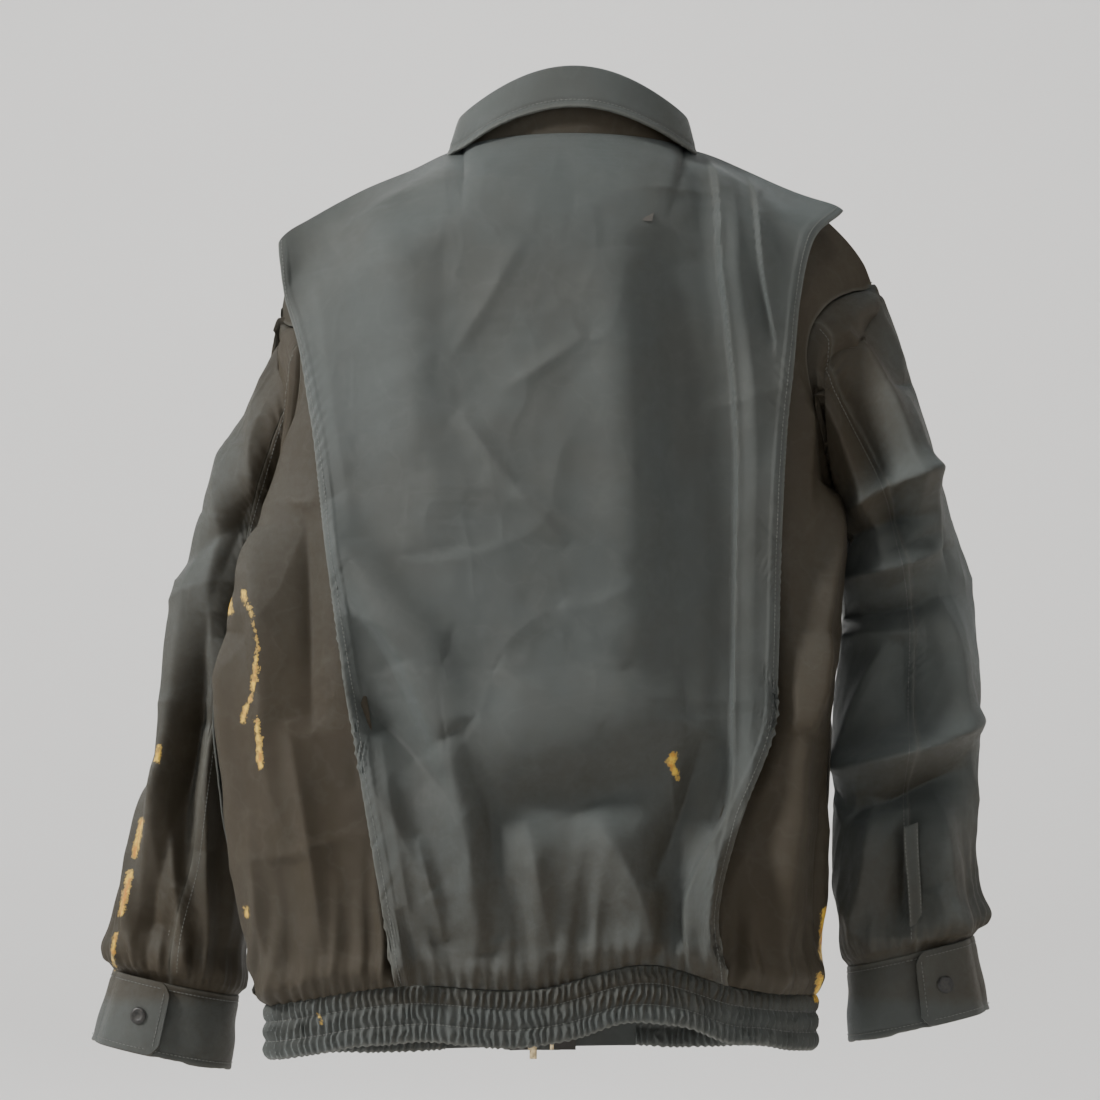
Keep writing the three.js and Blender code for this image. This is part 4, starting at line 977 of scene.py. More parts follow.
front = np.clip(-np.sin(turn), 0, None)
fall = (mix(31, 34, behind) + 10 * front) * MM
away = mix(12, 9, behind) * MM
h = height + SEAM
path = np.stack([
    np.stack([-0.001 + 0 * h, h], -1), np.stack([0 * h, h + 0.004], -1),
    np.stack([0.003 + 0 * h, h + 0.0065], -1),
    np.stack([0.006 + 0 * h, h + 0.005], -1), np.stack([away - 0.001, h - fall * 0.4], -1),
    np.stack([away + 0.002, h + 0.006 - fall], -1)], 1)
stops = np.array([0, 1, 2, 3, 5, 7.0])
fine = np.linspace(0, 7, 71)
leaf_line = np.stack([
    np.stack([curve_through(list(zip(stops, row[:, k])))(fine) for k in (0, 1)], -1) for row in path])
wander = noise(turn[:, None] * 0.08, fine[None] * 0.006, 0.03, 8)
leaf_line[..., 0] += 0.0012 * wander * smooth(fine, 2, 7)
leaf_line[..., 0] += 0.0016 * np.sin(9 * turn[:, None]) * smooth(fine, 4, 7) * 0.5
leaf_line[..., 1] += 0.0009 * noise(turn[:, None] * 0.08, fine[None] * 0, 0.045, 18) * smooth(fine, 2, 7)
at, side, rise = (f[:, None] for f in frames)
leaf = at + leaf_line[..., :1] * side + leaf_line[..., 1:] * rise
out = 1 if (normals_of(leaf)[:, 50] * frames[1]).sum() > 0 else -1
to_edge = lengths(leaf, 1)[:, -1:] - lengths(leaf, 1)
ridge_ = 0.0007 * np.exp(-(((to_edge - 0.0065) / 0.0018) ** 2))
leaf = leaf - normals_of(leaf) * out * ridge_[..., None]
leaf = leaf + normals_of(leaf) * out * pucker(lengths(leaf, 0), to_edge, 44, 0.0003)[..., None]
cloth("collar_leaf", leaf, 0.002, out, 0.0, to_edge)
normal = normals_of(leaf) * out
row = np.array([np.interp(0.0065, to_edge[j, ::-1], np.arange(71)[::-1]) for j in range(261)])
low = np.clip(row.astype(int), 0, 69)
k = np.arange(261)
stitch_row(mix(leaf[k, low], leaf[k, low + 1], (row - low)[:, None])[3:-3], normal[k, low][3:-3])

c, t = np.broadcast_arrays(np.linspace(-0.3, 0.3, 61)[None], np.linspace(0.004, 0.11, 41)[:, None])
facing = body_point(c, t, 1) + np.array([0, -4.4 * MM, -3.7 * MM])
made = shell(
    "neck_facing", facing, 0.0009, -1, rim=lengths(facing, 0), shade=0 * t + 0.9, paint=0 * t + 40
)
dress(made, "lining", "jacket", "neck_facing")
print("collar's roll stands, mm:", round((leaf[..., 2].max()) / MM, 1))

# %% [markdown]
# ## Hem band
# Elastic is sewn into the hem in three channels. Relaxed, it draws the casing into hundreds of
# fine ridges, each pinched where a row of stitching crosses it.

# %% Hem band
TAB_LENGTH = 0.058


def hem_point(turn):
    """The hem seam: back for a turn from 0 to pi, front for the rest."""
    back = (np.sin(turn) >= 0)[..., None]
    one = 1 + 0 * turn
    return np.where(back, body_point(np.cos(turn), one, 1), body_point(np.cos(turn), one, 0))


def hem_frames(turn):
    """The seam, with the directions out of the body and up."""
    before, after = hem_point(turn - 0.02), hem_point(turn + 0.02)
    side = np.stack([after[:, 1] - before[:, 1], before[:, 0] - after[:, 0], 0 * turn], -1)
    side /= np.linalg.norm(side, axis=-1, keepdims=True)
    return hem_point(turn), side, np.tile([0.0, 0.0, 1.0], (len(turn), 1))


def even_turns(start, stop, step):
    """Turns whose places on the hem lie step apart."""
    turn = np.linspace(start, stop, 4000)
    place = hem_point(turn)
    s = np.concatenate([[0], np.cumsum(np.linalg.norm(np.diff(place, axis=0), axis=-1))])
    at = np.linspace(0, s[-1], int(s[-1] / step))
    return np.interp(at, s, turn), at


hem_turn = lambda x: -math.acos(max(-1, min(1, cos_at(x, 1.0))))
turn, s = even_turns(
    hem_turn(LEFT_EDGE + TAB_LENGTH + MM), 2 * np.pi + hem_turn(RIGHT_EDGE - TAB_LENGTH - MM), 0.00115
)
frames = hem_frames(turn)
o, u = slab(-0.0014 + 0 * s, 0.0028 + 0 * s, -0.0005 + 0 * s, -BAND_HEIGHT + 0 * s, 0.0013, 30)
down_band = np.clip(-u / BAND_HEIGHT, 0, 1)
S = s[:, None]
phase = 2 * np.pi * S / 0.0058 + 2.4 * noise(S, u, 0.017, 13) + 1.6 * noise(S, u * 1.4, 0.008, 14)
channel = np.abs(np.sin(3 * np.pi * down_band)) ** 0.6
outer_side = np.sign(o - 0.0007)
ruche = (0.5 + 0.5 * np.cos(phase)) ** 1.3 * (0.35 + 0.65 * channel)
o = o + outer_side * (0.0030 * ruche + 0.0016 * channel - 0.0006)
u = u + 0.0016 * noise(S, u * 0, 0.03, 33) * smooth(down_band, 0.2, 1)
u = u + 0.0007 * np.cos(phase) * smooth(down_band, 0.8, 1)
band = sweep(frames, (o, u))
cloth_loop("hem_band", band, 0.06, rim=np.minimum(down_band, 1 - down_band) * BAND_HEIGHT)
for level in (1 / 3, 2 / 3):
    column = np.argmin(np.abs(down_band[0, :30] - level))
    stitch_row(band[:, column] + frames[1] * 0.0002, frames[1], 0.0030, 0.0021)
print("hem band, mm round:", round(s[-1] / MM))

elastic_turn, s = even_turns(turn[0], turn[-1], 0.006)
frames = hem_frames(elastic_turn)
o, u = slab(0.0001 + 0 * s, 0.0013 + 0 * s, -0.005 + 0 * s, -BAND_HEIGHT + 0.003 + 0 * s, 0.0004, 6)
made = loop("hem_elastic", sweep(frames, (o, u)))
dress(made, "elastic", "jacket", "hem_elastic")
for name, start, stop in (
    ("hem_tab_left", LEFT_EDGE, LEFT_EDGE + TAB_LENGTH),
    ("hem_tab_right", RIGHT_EDGE - TAB_LENGTH, RIGHT_EDGE),
):
    turn, s = even_turns(hem_turn(start), hem_turn(stop), 0.0015)
    frames = hem_frames(turn)
    o, u = slab(-0.0009 + 0 * s, 0.0017 + 0 * s, -0.001 + 0 * s, -BAND_HEIGHT + 0 * s, 0.0009, 20)
    S = s[:, None]
    o = o + 0.0006 * noise(S, u, 0.02, 23)
    cloth_loop(name, sweep(frames, (o, u)), 0.1)
    for level in (0.005, BAND_HEIGHT - 0.005):
        stitch_row(frames[0] + frames[1] * 0.0018 - frames[2] * level, frames[1])
sew("stitches")

# %% [markdown]
# ## Zip
# An open-ended metal zip: woven tapes, a row of teeth clamped on each, the slider parked at the
# foot of the left chain with its pull hanging, and a box and pin where the two sides would join.

# %% Zip
ZIP_TOP = -0.172 * BACK_LENGTH
ZIP_FOOT = -1.018 * BACK_LENGTH - BAND_HEIGHT + MM
TAPE_Y = -FRONT_DEPTH + 3.5 * MM
CHAIN = 3.2 * MM


def rounded_box(low, high, corner, name, finish, body="jacket", nodes=None):
    """A box whose edges are rounded by corner: a cube's grid of points, pulled onto the sphere of
    that radius round the nearest point of the box shrunk by it."""
    low, high = np.asarray(low, float), np.asarray(high, float)
    verts, faces = rounded_parts(low, high, corner)
    made = add_mesh(name, verts, faces)
    made.data.set_sharp_from_angle(angle=math.radians(50))
    dress(made, finish, body, nodes if nodes is not None else [name])
    return made


def rounded_parts(low, high, corner):
    """The points and faces of one rounded box."""
    from_low = corner * np.array([0, 0.3, 1])
    axis = [np.concatenate([low[k] + from_low, high[k] - from_low[::-1]]) for k in range(3)]
    points, faces, seen = [], [], {}
    for k in range(3):
        i, j = (k + 1) % 3, (k + 2) % 3
        for end in (0, 5):
            index = np.empty((6, 6), int)
            for a in range(6):
                for b in range(6):
                    p = np.empty(3)
                    p[k], p[i], p[j] = axis[k][end], axis[i][a], axis[j][b]
                    core = np.clip(p, low + corner, high - corner)
                    d = p - core
                    p = core + d / max(np.linalg.norm(d), 1e-12) * corner
                    key = tuple(np.round(p * 1e7).astype(int))
                    index[a, b] = seen.setdefault(key, len(seen))
                    if index[a, b] == len(points):
                        points.append(p)
            for a in range(5):
                for b in range(5):
                    quad = [index[a, b], index[a + 1, b], index[a + 1, b + 1], index[a, b + 1]]
                    faces.append(quad if end else quad[::-1])
    return np.array(points), faces


def copies(name, verts, faces, places, finish, body="jacket", nodes=()):
    """One mesh that holds a copy of the points and faces at each of the places."""
    verts, places = np.asarray(verts), np.asarray(places)
    points = (places[:, None] + verts[None]).reshape(-1, 3)
    every = [[v + k * len(verts) for v in face] for k in range(len(places)) for face in faces]
    made = add_mesh(name, points, every)
    made.data.set_sharp_from_angle(angle=math.radians(50))
    dress(made, finish, body, nodes)
    return made


tooth_outline = np.array([
    (-1.6, -0.55), (-0.4, -0.6), (0.3, -0.5), (0.9, -0.62), (1.6, -0.45),
    (1.6, 0.45), (0.9, 0.62), (0.3, 0.5), (-0.4, 0.6), (-1.6, 0.55)]) * MM
ring = np.arange(10)
tooth_faces = [ring[::-1].tolist(), (ring + 10).tolist()]
tooth_faces += [[a, (a + 1) % 10, (a + 1) % 10 + 10, a + 10] for a in range(10)]
for side, x, away in (("left", ZIP_X, 1), ("right", RIGHT_CHAIN_X, -1)):
    heights = np.arange(ZIP_FOOT + 0.0128, ZIP_TOP - 0.0058, 0.0025)
    flat = np.stack([-away * tooth_outline[:, 0], 0 * tooth_outline[:, 0], tooth_outline[:, 1]], -1)
    near, far = flat - [0, 0.00145, 0], flat + [0, 0.00145, 0]
    order = [face if away < 0 else face[::-1] for face in tooth_faces]
    copies(
        f"zip_teeth_{side}", np.concatenate([near, far]), order, [(x, TAPE_Y, z) for z in heights],
        "brass", nodes=[f"zip_chain_{side}"]
    )
    inner = x + away * (CHAIN / 2 + 0.0002)
    width = np.linspace(0, 1, 13)
    z = np.linspace(ZIP_TOP, ZIP_FOOT, 421)[:, None]
    cord_ = 0.0004 * np.exp(-(((width - 0.06) / 0.05) ** 2))
    y = TAPE_Y - 0.0005 - cord_[None] + 0 * z
    tape = np.stack(
        [inner + away * width[None] * (0.082 * HALF_CHEST - CHAIN / 2 - 0.0002) + 0 * z, y, z + 0 * y],
        -1
    )
    out = 1 if normals_of(tape)[200, 6, 1] < 0 else -1
    made = shell(f"zip_tape_{side}", tape, MM, out, rim=0 * y, shade=0 * y, paint=0 * y + 40)
    dress(made, "tape", "jacket", f"zip_tape_{side}")
    rounded_box(
        (x - CHAIN / 2, TAPE_Y - CHAIN * 0.7, ZIP_TOP - 4.7 * MM),
        (x + CHAIN / 2, TAPE_Y + CHAIN * 0.7, ZIP_TOP), 0.0006, f"zip_stop_{side}", "brass"
    )
rounded_box(
    (ZIP_X - 4 * MM, TAPE_Y - 2.6 * MM, ZIP_FOOT),
    (ZIP_X + CHAIN / 2, TAPE_Y + 2.6 * MM, ZIP_FOOT + 11.6 * MM), 0.0008, "zip_box", "brass"
)
rounded_box(
    (RIGHT_CHAIN_X - CHAIN / 2, TAPE_Y - 1.2 * MM, ZIP_FOOT),
    (RIGHT_CHAIN_X + CHAIN / 2, TAPE_Y + 1.2 * MM, ZIP_FOOT + 11.6 * MM), 0.0007, "zip_pin", "brass"
)
print("zip teeth on each side:", len(heights))

# %% [markdown]
# ## Slider and pull
# The slider is two plates with a bridge between them, lips that hold the chain, and a bail on its
# face. The pull is a tapered tag with a slot at its top, thinner in the middle.

# %% Slider and pull
SLIDER_X = ZIP_X - CHAIN / 2 - 0.0004 - 0.0007
PLATE_IN = CHAIN / 2 + 0.0004
PLATE_OUT = PLATE_IN + 0.0012
SLIDER_FOOT = ZIP_FOOT + 12.2 * MM
SLIDER_LENGTH = 0.011
PULL_Z = SLIDER_FOOT + SLIDER_LENGTH * 0.55
PULL_Y = TAPE_Y - PLATE_OUT - 0.0011


def merged(name, boxes, finish, body, nodes):
    """One mesh from several rounded boxes, each (low corner, high corner, rounding)."""
    points, faces = [], []
    for low, high, corner in boxes:
        verts, some = rounded_parts(np.asarray(low, float), np.asarray(high, float), corner)
        start = sum(len(p) for p in points)
        points.append(verts)
        faces += [[v + start for v in face] for face in some]
    made = add_mesh(name, np.concatenate(points), faces)
    made.data.set_sharp_from_angle(angle=math.radians(50))
    dress(made, finish, body, nodes)
    return made


half = 6.5 * MM
x, z0, z1 = SLIDER_X, SLIDER_FOOT, SLIDER_FOOT + SLIDER_LENGTH
parts = []
for near, far in ((-PLATE_OUT, -PLATE_IN), (PLATE_IN, PLATE_OUT)):
    parts.append(
        ((x - half * 0.72, TAPE_Y + near, z0), (x + half * 0.72, TAPE_Y + far, z0 + 0.005), 0.0005)
    )
    parts.append(((x - half, TAPE_Y + near, z0 + 0.003), (x + half, TAPE_Y + far, z1), 0.0005))
LIP_NEAR, LIP_FAR = TAPE_Y - PLATE_IN - 0.0003, TAPE_Y + PLATE_IN + 0.0003
parts.append(((x - 0.0007, LIP_NEAR, z0 + 0.005), (x + 0.0007, LIP_FAR, z1), 0.0003))
for way in (-1, 1):
    lip = sorted((x + way * (half - 0.0009), x + way * half))
    for near, far in ((LIP_NEAR, TAPE_Y - 0.0009), (TAPE_Y + 0.0009, LIP_FAR)):
        parts.append(((lip[0], near, z0 + 0.0035), (lip[1], far, z1 - 0.0004), 0.0003))
face_y = TAPE_Y - PLATE_OUT
parts.append(
    ((x - MM, face_y - 0.0032, PULL_Z - 0.0025), (x + MM, face_y - 0.0022, PULL_Z + 0.0025), 0.0003)
)
for low, high in ((PULL_Z - 0.0025, PULL_Z - 0.0017), (PULL_Z + 0.0017, PULL_Z + 0.0025)):
    parts.append(((x - MM, face_y - 0.003, low), (x + MM, face_y + 0.0003, high), 0.0003))
merged("zip_slider", parts, "brass", "slider", ["zip_slider"])

y0, y1 = PULL_Y - 0.0006, PULL_Y + 0.0006
tag = [
    ((x - 0.003, y0, PULL_Z - 0.0006), (x + 0.003, y1, PULL_Z + 0.0006), 0.0004),
    ((x - 0.003, y0, PULL_Z - 0.0075), (x - 0.0014, y1, PULL_Z + 0.0002), 0.0004),
    ((x + 0.0014, y0, PULL_Z - 0.0075), (x + 0.003, y1, PULL_Z + 0.0002), 0.0004),
    ((x - 0.003, y0, PULL_Z - 0.026), (x + 0.003, y1, PULL_Z - 0.0066), 0.00045),
    ((x - 0.0017, y0 - 0.0003, PULL_Z - 0.0235), (x + 0.0017, y1 + 0.0003, PULL_Z - 0.0095), 0.0003),
]
merged("zip_pull", tag, "brass", "pull", ["zip_pull"])
print("slider's foot, mm:", round(SLIDER_FOOT / MM, 1))

# %% [markdown]
# ## Fly flap
# A flat strip of doubled cloth sewn to the left front, which covers the zip and snaps to the
# right front. Its free corners are rounded.

# %% Fly flap
FLAP_X = LEFT_EDGE + 0.006
FLAP_Y = -FRONT_DEPTH - 0.009
FLAP_TOP = -0.178 * BACK_LENGTH
FLAP_FOOT = -1.018 * BACK_LENGTH - BAND_HEIGHT
FLAP_FREE = ZIP_X - 0.034
CORNER = 0.010
f = np.linspace(0, 1, 61) ** 0.8
x = mix(FLAP_X, FLAP_FREE, f)[None]
past = np.clip((FLAP_FREE + CORNER - x) / CORNER, 0, 1)
cut = CORNER * 0.98 * (1 - np.sqrt(np.clip(1 - past * past, 0, None)))
v = np.linspace(0, 1, 361)[:, None]
z = mix(FLAP_TOP - cut, FLAP_FOOT + cut, v)
rise = smooth(FLAP_X - x, 0, 0.009)
y = mix(-FRONT_DEPTH - CLOTH - 0.0007, FLAP_Y, rise) - 0.0016 + 0 * z
x = x + 0 * z
edge = np.minimum.reduce([x - FLAP_FREE, (FLAP_TOP - z), (z - FLAP_FOOT)])
y = y + rise * (0.0009 * noise(x, z, 0.05, 77) + 0.0004 * noise(x, z, 0.016, 78))
y = y + 0.0005 * np.exp(-(((x - FLAP_FREE - 0.0055) / 0.0016) ** 2))
flap = np.stack([x, y, z], -1)
out = 1 if normals_of(flap)[180, 30, 1] < 0 else -1
cloth("fly_flap", flap, 0.0016, out, 0.1, np.clip(edge, 0, None), "flap")
normal = normals_of(flap) * out
column = np.argmin(np.abs(flap[180, :, 0] - FLAP_FREE - STITCH_IN))
stitch_row(flap[8:-8, column], normal[8:-8, column])
root = np.argmin(np.abs(flap[180, :, 0] - FLAP_X + 0.010))
stitch_row(flap[4:-4, root], normal[4:-4, root])
sew("flap_stitches", "flap")

# %% [markdown]
# ## Snaps
# Each snap is turned metal: a domed cap outside, and a socket and a stud that meet inside.

# %% Snaps
CAP = [
    (0, 1.45), (2.6, 1.5), (3.7, 1.7), (4.4, 1.95), (5.4, 1.85), (6.3, 1.35), (6.8, 0.8), (6.75, 0.4),
    (6.4, 0.2), (0, 0.2)
]
STUD = [
    (0, 1.9), (1.2, 1.85), (1.9, 1.6), (2.0, 1.3), (1.7, 1.0), (2.0, 0.75), (4.7, 0.7), (5.0, 0.5),
    (4.9, 0.2), (0, 0.2)
]
SOCKET = [
    (2.9, 0.2), (5.2, 0.2), (5.4, 0.5), (5.3, 0.95), (4.7, 1.1), (3.5, 1.1), (3.0, 0.95), (2.8, 0.6)
]


def turned(name, outline, at, face, finish, body, steps=40):
    """An outline of (radius, height) turned round the line through at along face."""
    face = np.asarray(face, float) / np.linalg.norm(face)
    side = np.cross(face, [0, 0, 1.0])
    side /= np.linalg.norm(side)
    up = np.cross(side, face)
    closed = outline[0][0] > 0
    angle = np.arange(steps) * 2 * np.pi / steps
    middle = outline if closed else outline[1:-1]
    points = [
        at + face * h * MM + (np.cos(a) * side + np.sin(a) * up) * r * MM for r, h in middle for a in angle]
    k = np.arange(len(middle) * steps).reshape(len(middle), steps)
    ahead = np.roll(k, -1, 0) if closed else k[1:]
    here = k if closed else k[:-1]
    faces = np.stack(
        [here, ahead, np.roll(ahead, -1, 1), np.roll(here, -1, 1)], -1
    ).reshape(-1, 4).tolist()
    if not closed:
        points += [at + face * outline[0][1] * MM, at + face * outline[-1][1] * MM]
        top, foot = len(points) - 2, len(points) - 1
        faces += [[top, k[0, i], k[0, (i + 1) % steps]] for i in range(steps)]
        faces += [[foot, k[-1, (i + 1) % steps], k[-1, i]] for i in range(steps)]
    made = add_mesh(name, np.array(points), faces)
    flip_inward(made)
    made.data.set_sharp_from_angle(angle=math.radians(45))
    dress(made, finish, body, name)
    return made


def flip_inward(made):
    """Turns every face round if the closed mesh encloses a negative volume."""
    mesh = made.data
    mesh.calc_loop_triangles()
    corner = np.empty(len(mesh.loop_triangles) * 3, np.int32)
    mesh.loop_triangles.foreach_get("vertices", corner)
    co = np.empty(len(mesh.vertices) * 3)
    mesh.vertices.foreach_get("co", co)
    a, b, c = np.moveaxis(co.reshape(-1, 3)[corner.reshape(-1, 3)], 1, 0)
    if np.einsum("ij,ij->", a - co[:3], np.cross(b - co[:3], c - co[:3])) < 0:
        mesh.flip_normals()


for side, arm in ARMS.items():
    at, face, up = (f[0] for f in frames_of(arm, np.array([SNAP_TURN])))
    spot = at - up * CUFF_HEIGHT / 2
    turned(f"cuff_snap_stud_{side}", STUD, spot + face * CUFF_THICK, face, "brass", "jacket")
    turned(
        f"cuff_snap_socket_{side}", SOCKET, spot + face * (CUFF_THICK + SNAP_ROOM - 0.0002), -face,
        "brass", f"cuff_tab_{side}"
    )
    turned(
        f"cuff_snap_cap_{side}", CAP, spot + face * (2 * CUFF_THICK + SNAP_ROOM + 0.0002), face, "cap",
        f"cuff_tab_{side}"
    )
for k in range(5):
    z = mix(FLAP_TOP - 0.024, FLAP_FOOT + BAND_HEIGHT * 0.43, k / 4)
    turned(
        f"fly_snap_cap_{k + 1}", CAP, np.array([ZIP_X - 0.019, FLAP_Y - 0.0019, z]), (0, -1, 0), "cap",
        "flap"
    )
    turned(
        f"fly_snap_socket_{k + 1}", SOCKET, np.array([ZIP_X - 0.019, FLAP_Y, z]), (0, 1, 0), "brass",
        "flap"
    )
    turned(
        f"fly_snap_stud_{k + 1}", STUD,
        np.array([RIGHT_CHAIN_X - 0.0215, -FRONT_DEPTH - CLOTH - 0.0005, z]), (0, -1, 0), "brass",
        "jacket"
    )

turn = np.linspace(-1, 1, 61)
place = np.stack(
    [turn * 0.022, NECK_BACK - 0.0036 - 0.011 * (1 - turn**2), 0.009 - 0.006 * (1 - turn**2)], -1
)
frames = (place, np.tile([0.0, 1.0, 0.0], (61, 1)), np.tile([0.0, 0.0, 1.0], (61, 1)))
flat = 0 * turn
made = loop(
    "hang_loop",
    sweep(frames, slab(flat - 0.0005, flat + 0.0005, flat + 0.0025, flat - 0.0025, 0.0003, 6))
)
dress(made, "tape", "jacket", "hang_loop")
print("snaps and loop made; pieces:", len(shown))

# %% [markdown]
# ## Materials
# Everything is procedural. The weave is worked out from the cloth's own UV map in metres, so its
# threads have their real size. Colour comes from the shade number, which holds painted light and
# shade, and from the wear and paint numbers.

# %% Node helpers
def new_group(name, inputs, outputs):
    """An empty shader node group with float or colour sockets."""
    tree = bpy.data.node_groups.new(name, "ShaderNodeTree")
    for key, kind, default in inputs:
        socket = tree.interface.new_socket(key, in_out="INPUT", socket_type=kind)
        socket.default_value = default
    for key, kind in outputs:
        tree.interface.new_socket(key, in_out="OUTPUT", socket_type=kind)
    return tree, tree.nodes.new("NodeGroupInput"), tree.nodes.new("NodeGroupOutput")


def maker(tree):
    """Functions that add nodes to a tree: put, maths, blend, noise_of and spread."""
    def put(socket, value):
        if isinstance(value, bpy.types.NodeSocket):
            tree.links.new(value, socket)
        else:
            socket.default_value = value

    def maths(kind, *values):
        node = tree.nodes.new("ShaderNodeMath")
        node.operation = kind
        for k, value in enumerate(values):
            put(node.inputs[k], value)
        return node.outputs[0]

    def blend(f, a, b, kind="MIX"):
        node = tree.nodes.new("ShaderNodeMix")
        node.data_type = "RGBA"
        node.blend_type = kind
        for key, value in zip(("Factor", "A", "B"), (f, a, b)):
            put([s for s in node.inputs if s.name == key and s.enabled][0], value)
        return [s for s in node.outputs if s.enabled][0]

    def noise_of(vector, scale, detail=3.0, rough=0.55):
        node = tree.nodes.new("ShaderNodeTexNoise")
        tree.links.new(vector, node.inputs["Vector"])
        node.inputs["Scale"].default_value = scale
        node.inputs["Detail"].default_value = detail
        node.inputs["Roughness"].default_value = rough
        return node.outputs["Fac"]

    def spread(value, low, high, to_low=0.0, to_high=1.0):
        node = tree.nodes.new("ShaderNodeMapRange")
        node.interpolation_type = "SMOOTHSTEP"
        for k, v in enumerate((value, low, high, to_low, to_high)):
            put(node.inputs[k], v)
        return node.outputs[0]

    return put, maths, blend, noise_of, spread


def weave_group():
    """Plain weave from the UV map: over is a chequer, and each thread is a half sine. Height is
    the weave's relief, and Fleck the unevenness of the yarn along and across."""
    tree, ins, outs = new_group("Weave", [("Pitch", "NodeSocketFloat", 0.00045)], [
        ("Height", "NodeSocketFloat"), ("Fleck", "NodeSocketFloat")])
    put, maths, blend, noise_of, spread = maker(tree)
    uv = tree.nodes.new("ShaderNodeUVMap")
    uv.uv_map = "Cloth"
    split = tree.nodes.new("ShaderNodeSeparateXYZ")
    tree.links.new(uv.outputs[0], split.inputs[0])
    u = maths("DIVIDE", split.outputs[0], ins.outputs["Pitch"])
    v = maths("DIVIDE", split.outputs[1], ins.outputs["Pitch"])
    parity = maths("FLOORED_MODULO", maths("ADD", maths("FLOOR", u), maths("FLOOR", v)), 2.0)
    warp = maths("ABSOLUTE", maths("SINE", maths("MULTIPLY", u, math.pi)))
    weft = maths("ABSOLUTE", maths("SINE", maths("MULTIPLY", v, math.pi)))
    over = maths(
        "ADD", maths("MULTIPLY", warp, parity), maths("MULTIPLY", weft, maths("SUBTRACT", 1.0, parity))
    )
    tree.links.new(over, outs.inputs["Height"])
    slubs = []
    for stretch in ((2200.0, 90.0, 0.0), (90.0, 2200.0, 0.0)):
        scaled = tree.nodes.new("ShaderNodeVectorMath")
        scaled.operation = "MULTIPLY"
        tree.links.new(uv.outputs[0], scaled.inputs[0])
        scaled.inputs[1].default_value = stretch
        slubs.append(noise_of(scaled.outputs[0], 1.0, 2.0))
    tree.links.new(maths("MULTIPLY", maths("ADD", *slubs), 0.5), outs.inputs["Fleck"])
    return tree


def wear_group():
    """Blotches of wear and dirt over a few centimetres, and a fine mottle, from Object places."""
    tree, ins, outs = new_group("Wear", [("Amount", "NodeSocketFloat", 1.0)], [
        ("Blotch", "NodeSocketFloat"), ("Mottle", "NodeSocketFloat"), ("Crease", "NodeSocketFloat")])
    put, maths, blend, noise_of, spread = maker(tree)
    where = tree.nodes.new("ShaderNodeTexCoord").outputs["Object"]
    broad = spread(noise_of(where, 9.0, 4.0, 0.6), 0.35, 0.68)
    tree.links.new(maths("MULTIPLY", broad, ins.outputs["Amount"]), outs.inputs["Blotch"])
    tree.links.new(noise_of(where, 160.0, 5.0, 0.7), outs.inputs["Mottle"])
    lines = maths("ABSOLUTE", maths("SUBTRACT", noise_of(where, 26.0, 3.0, 0.5), 0.5))
    tree.links.new(spread(lines, 0.0, 0.035, 1.0, 0.0), outs.inputs["Crease"])
    return tree


def paint_group():
    """Dried paint: Mask is 1 where the stored distance, roughened by noise of two sizes, is below
    zero. Colour wanders from yellow to orange and brown, and Height stands it off the cloth."""
    tree, ins, outs = new_group("Paint", [], [
        ("Mask", "NodeSocketFloat"), ("Colour", "NodeSocketColor"), ("Height", "NodeSocketFloat")])
    put, maths, blend, noise_of, spread = maker(tree)
    stored = tree.nodes.new("ShaderNodeAttribute")
    stored.attribute_name = "paint"
    where = tree.nodes.new("ShaderNodeTexCoord").outputs["Object"]
    ragged = maths("MULTIPLY", maths("SUBTRACT", noise_of(where, 240.0, 3.0, 0.7), 0.5), 9.0)
    drops = maths("MULTIPLY", maths("SUBTRACT", noise_of(where, 700.0, 2.0), 0.5), 3.0)
    away = maths("ADD", stored.outputs["Fac"], maths("ADD", ragged, drops))
    mask = spread(away, -0.35, 0.2, 1.0, 0.0)
    tree.links.new(mask, outs.inputs["Mask"])
    tree.links.new(spread(away, -2.5, 0.0, 1.0, 0.0), outs.inputs["Height"])
    tint = blend(
        spread(noise_of(where, 120.0, 2.0), 0.42, 0.62), (0.62, 0.40, 0.05, 1), (0.42, 0.17, 0.02, 1)
    )
    thick = spread(away, -2.2, -0.6, 1.0, 0.0)
    tree.links.new(blend(thick, (0.30, 0.20, 0.05, 1), tint), outs.inputs["Colour"])
    return tree


WEAVE, WEAR, PAINT = weave_group(), wear_group(), paint_group()


def material(name):
    """A new material's tree and its Principled shader."""
    made = bpy.data.materials.new(name)
    made.use_nodes = True
    shader = made.node_tree.nodes["Principled BSDF"]
    return made, made.node_tree, shader


def use(tree, group, **values):
    """A group placed in a material."""
    node = tree.nodes.new("ShaderNodeGroup")
    node.node_tree = group
    for key, value in values.items():
        node.inputs[key].default_value = value
    return node.outputs


def bumped(tree, shader, height, distance):
    """Bump from a height between 0 and 1, distance tall in metres."""
    node = tree.nodes.new("ShaderNodeBump")
    node.inputs["Distance"].default_value = distance
    node.inputs["Strength"].default_value = 1.0
    tree.links.new(height, node.inputs["Height"])
    tree.links.new(node.outputs[0], shader.inputs["Normal"])


print("node groups:", [g.name for g in bpy.data.node_groups])

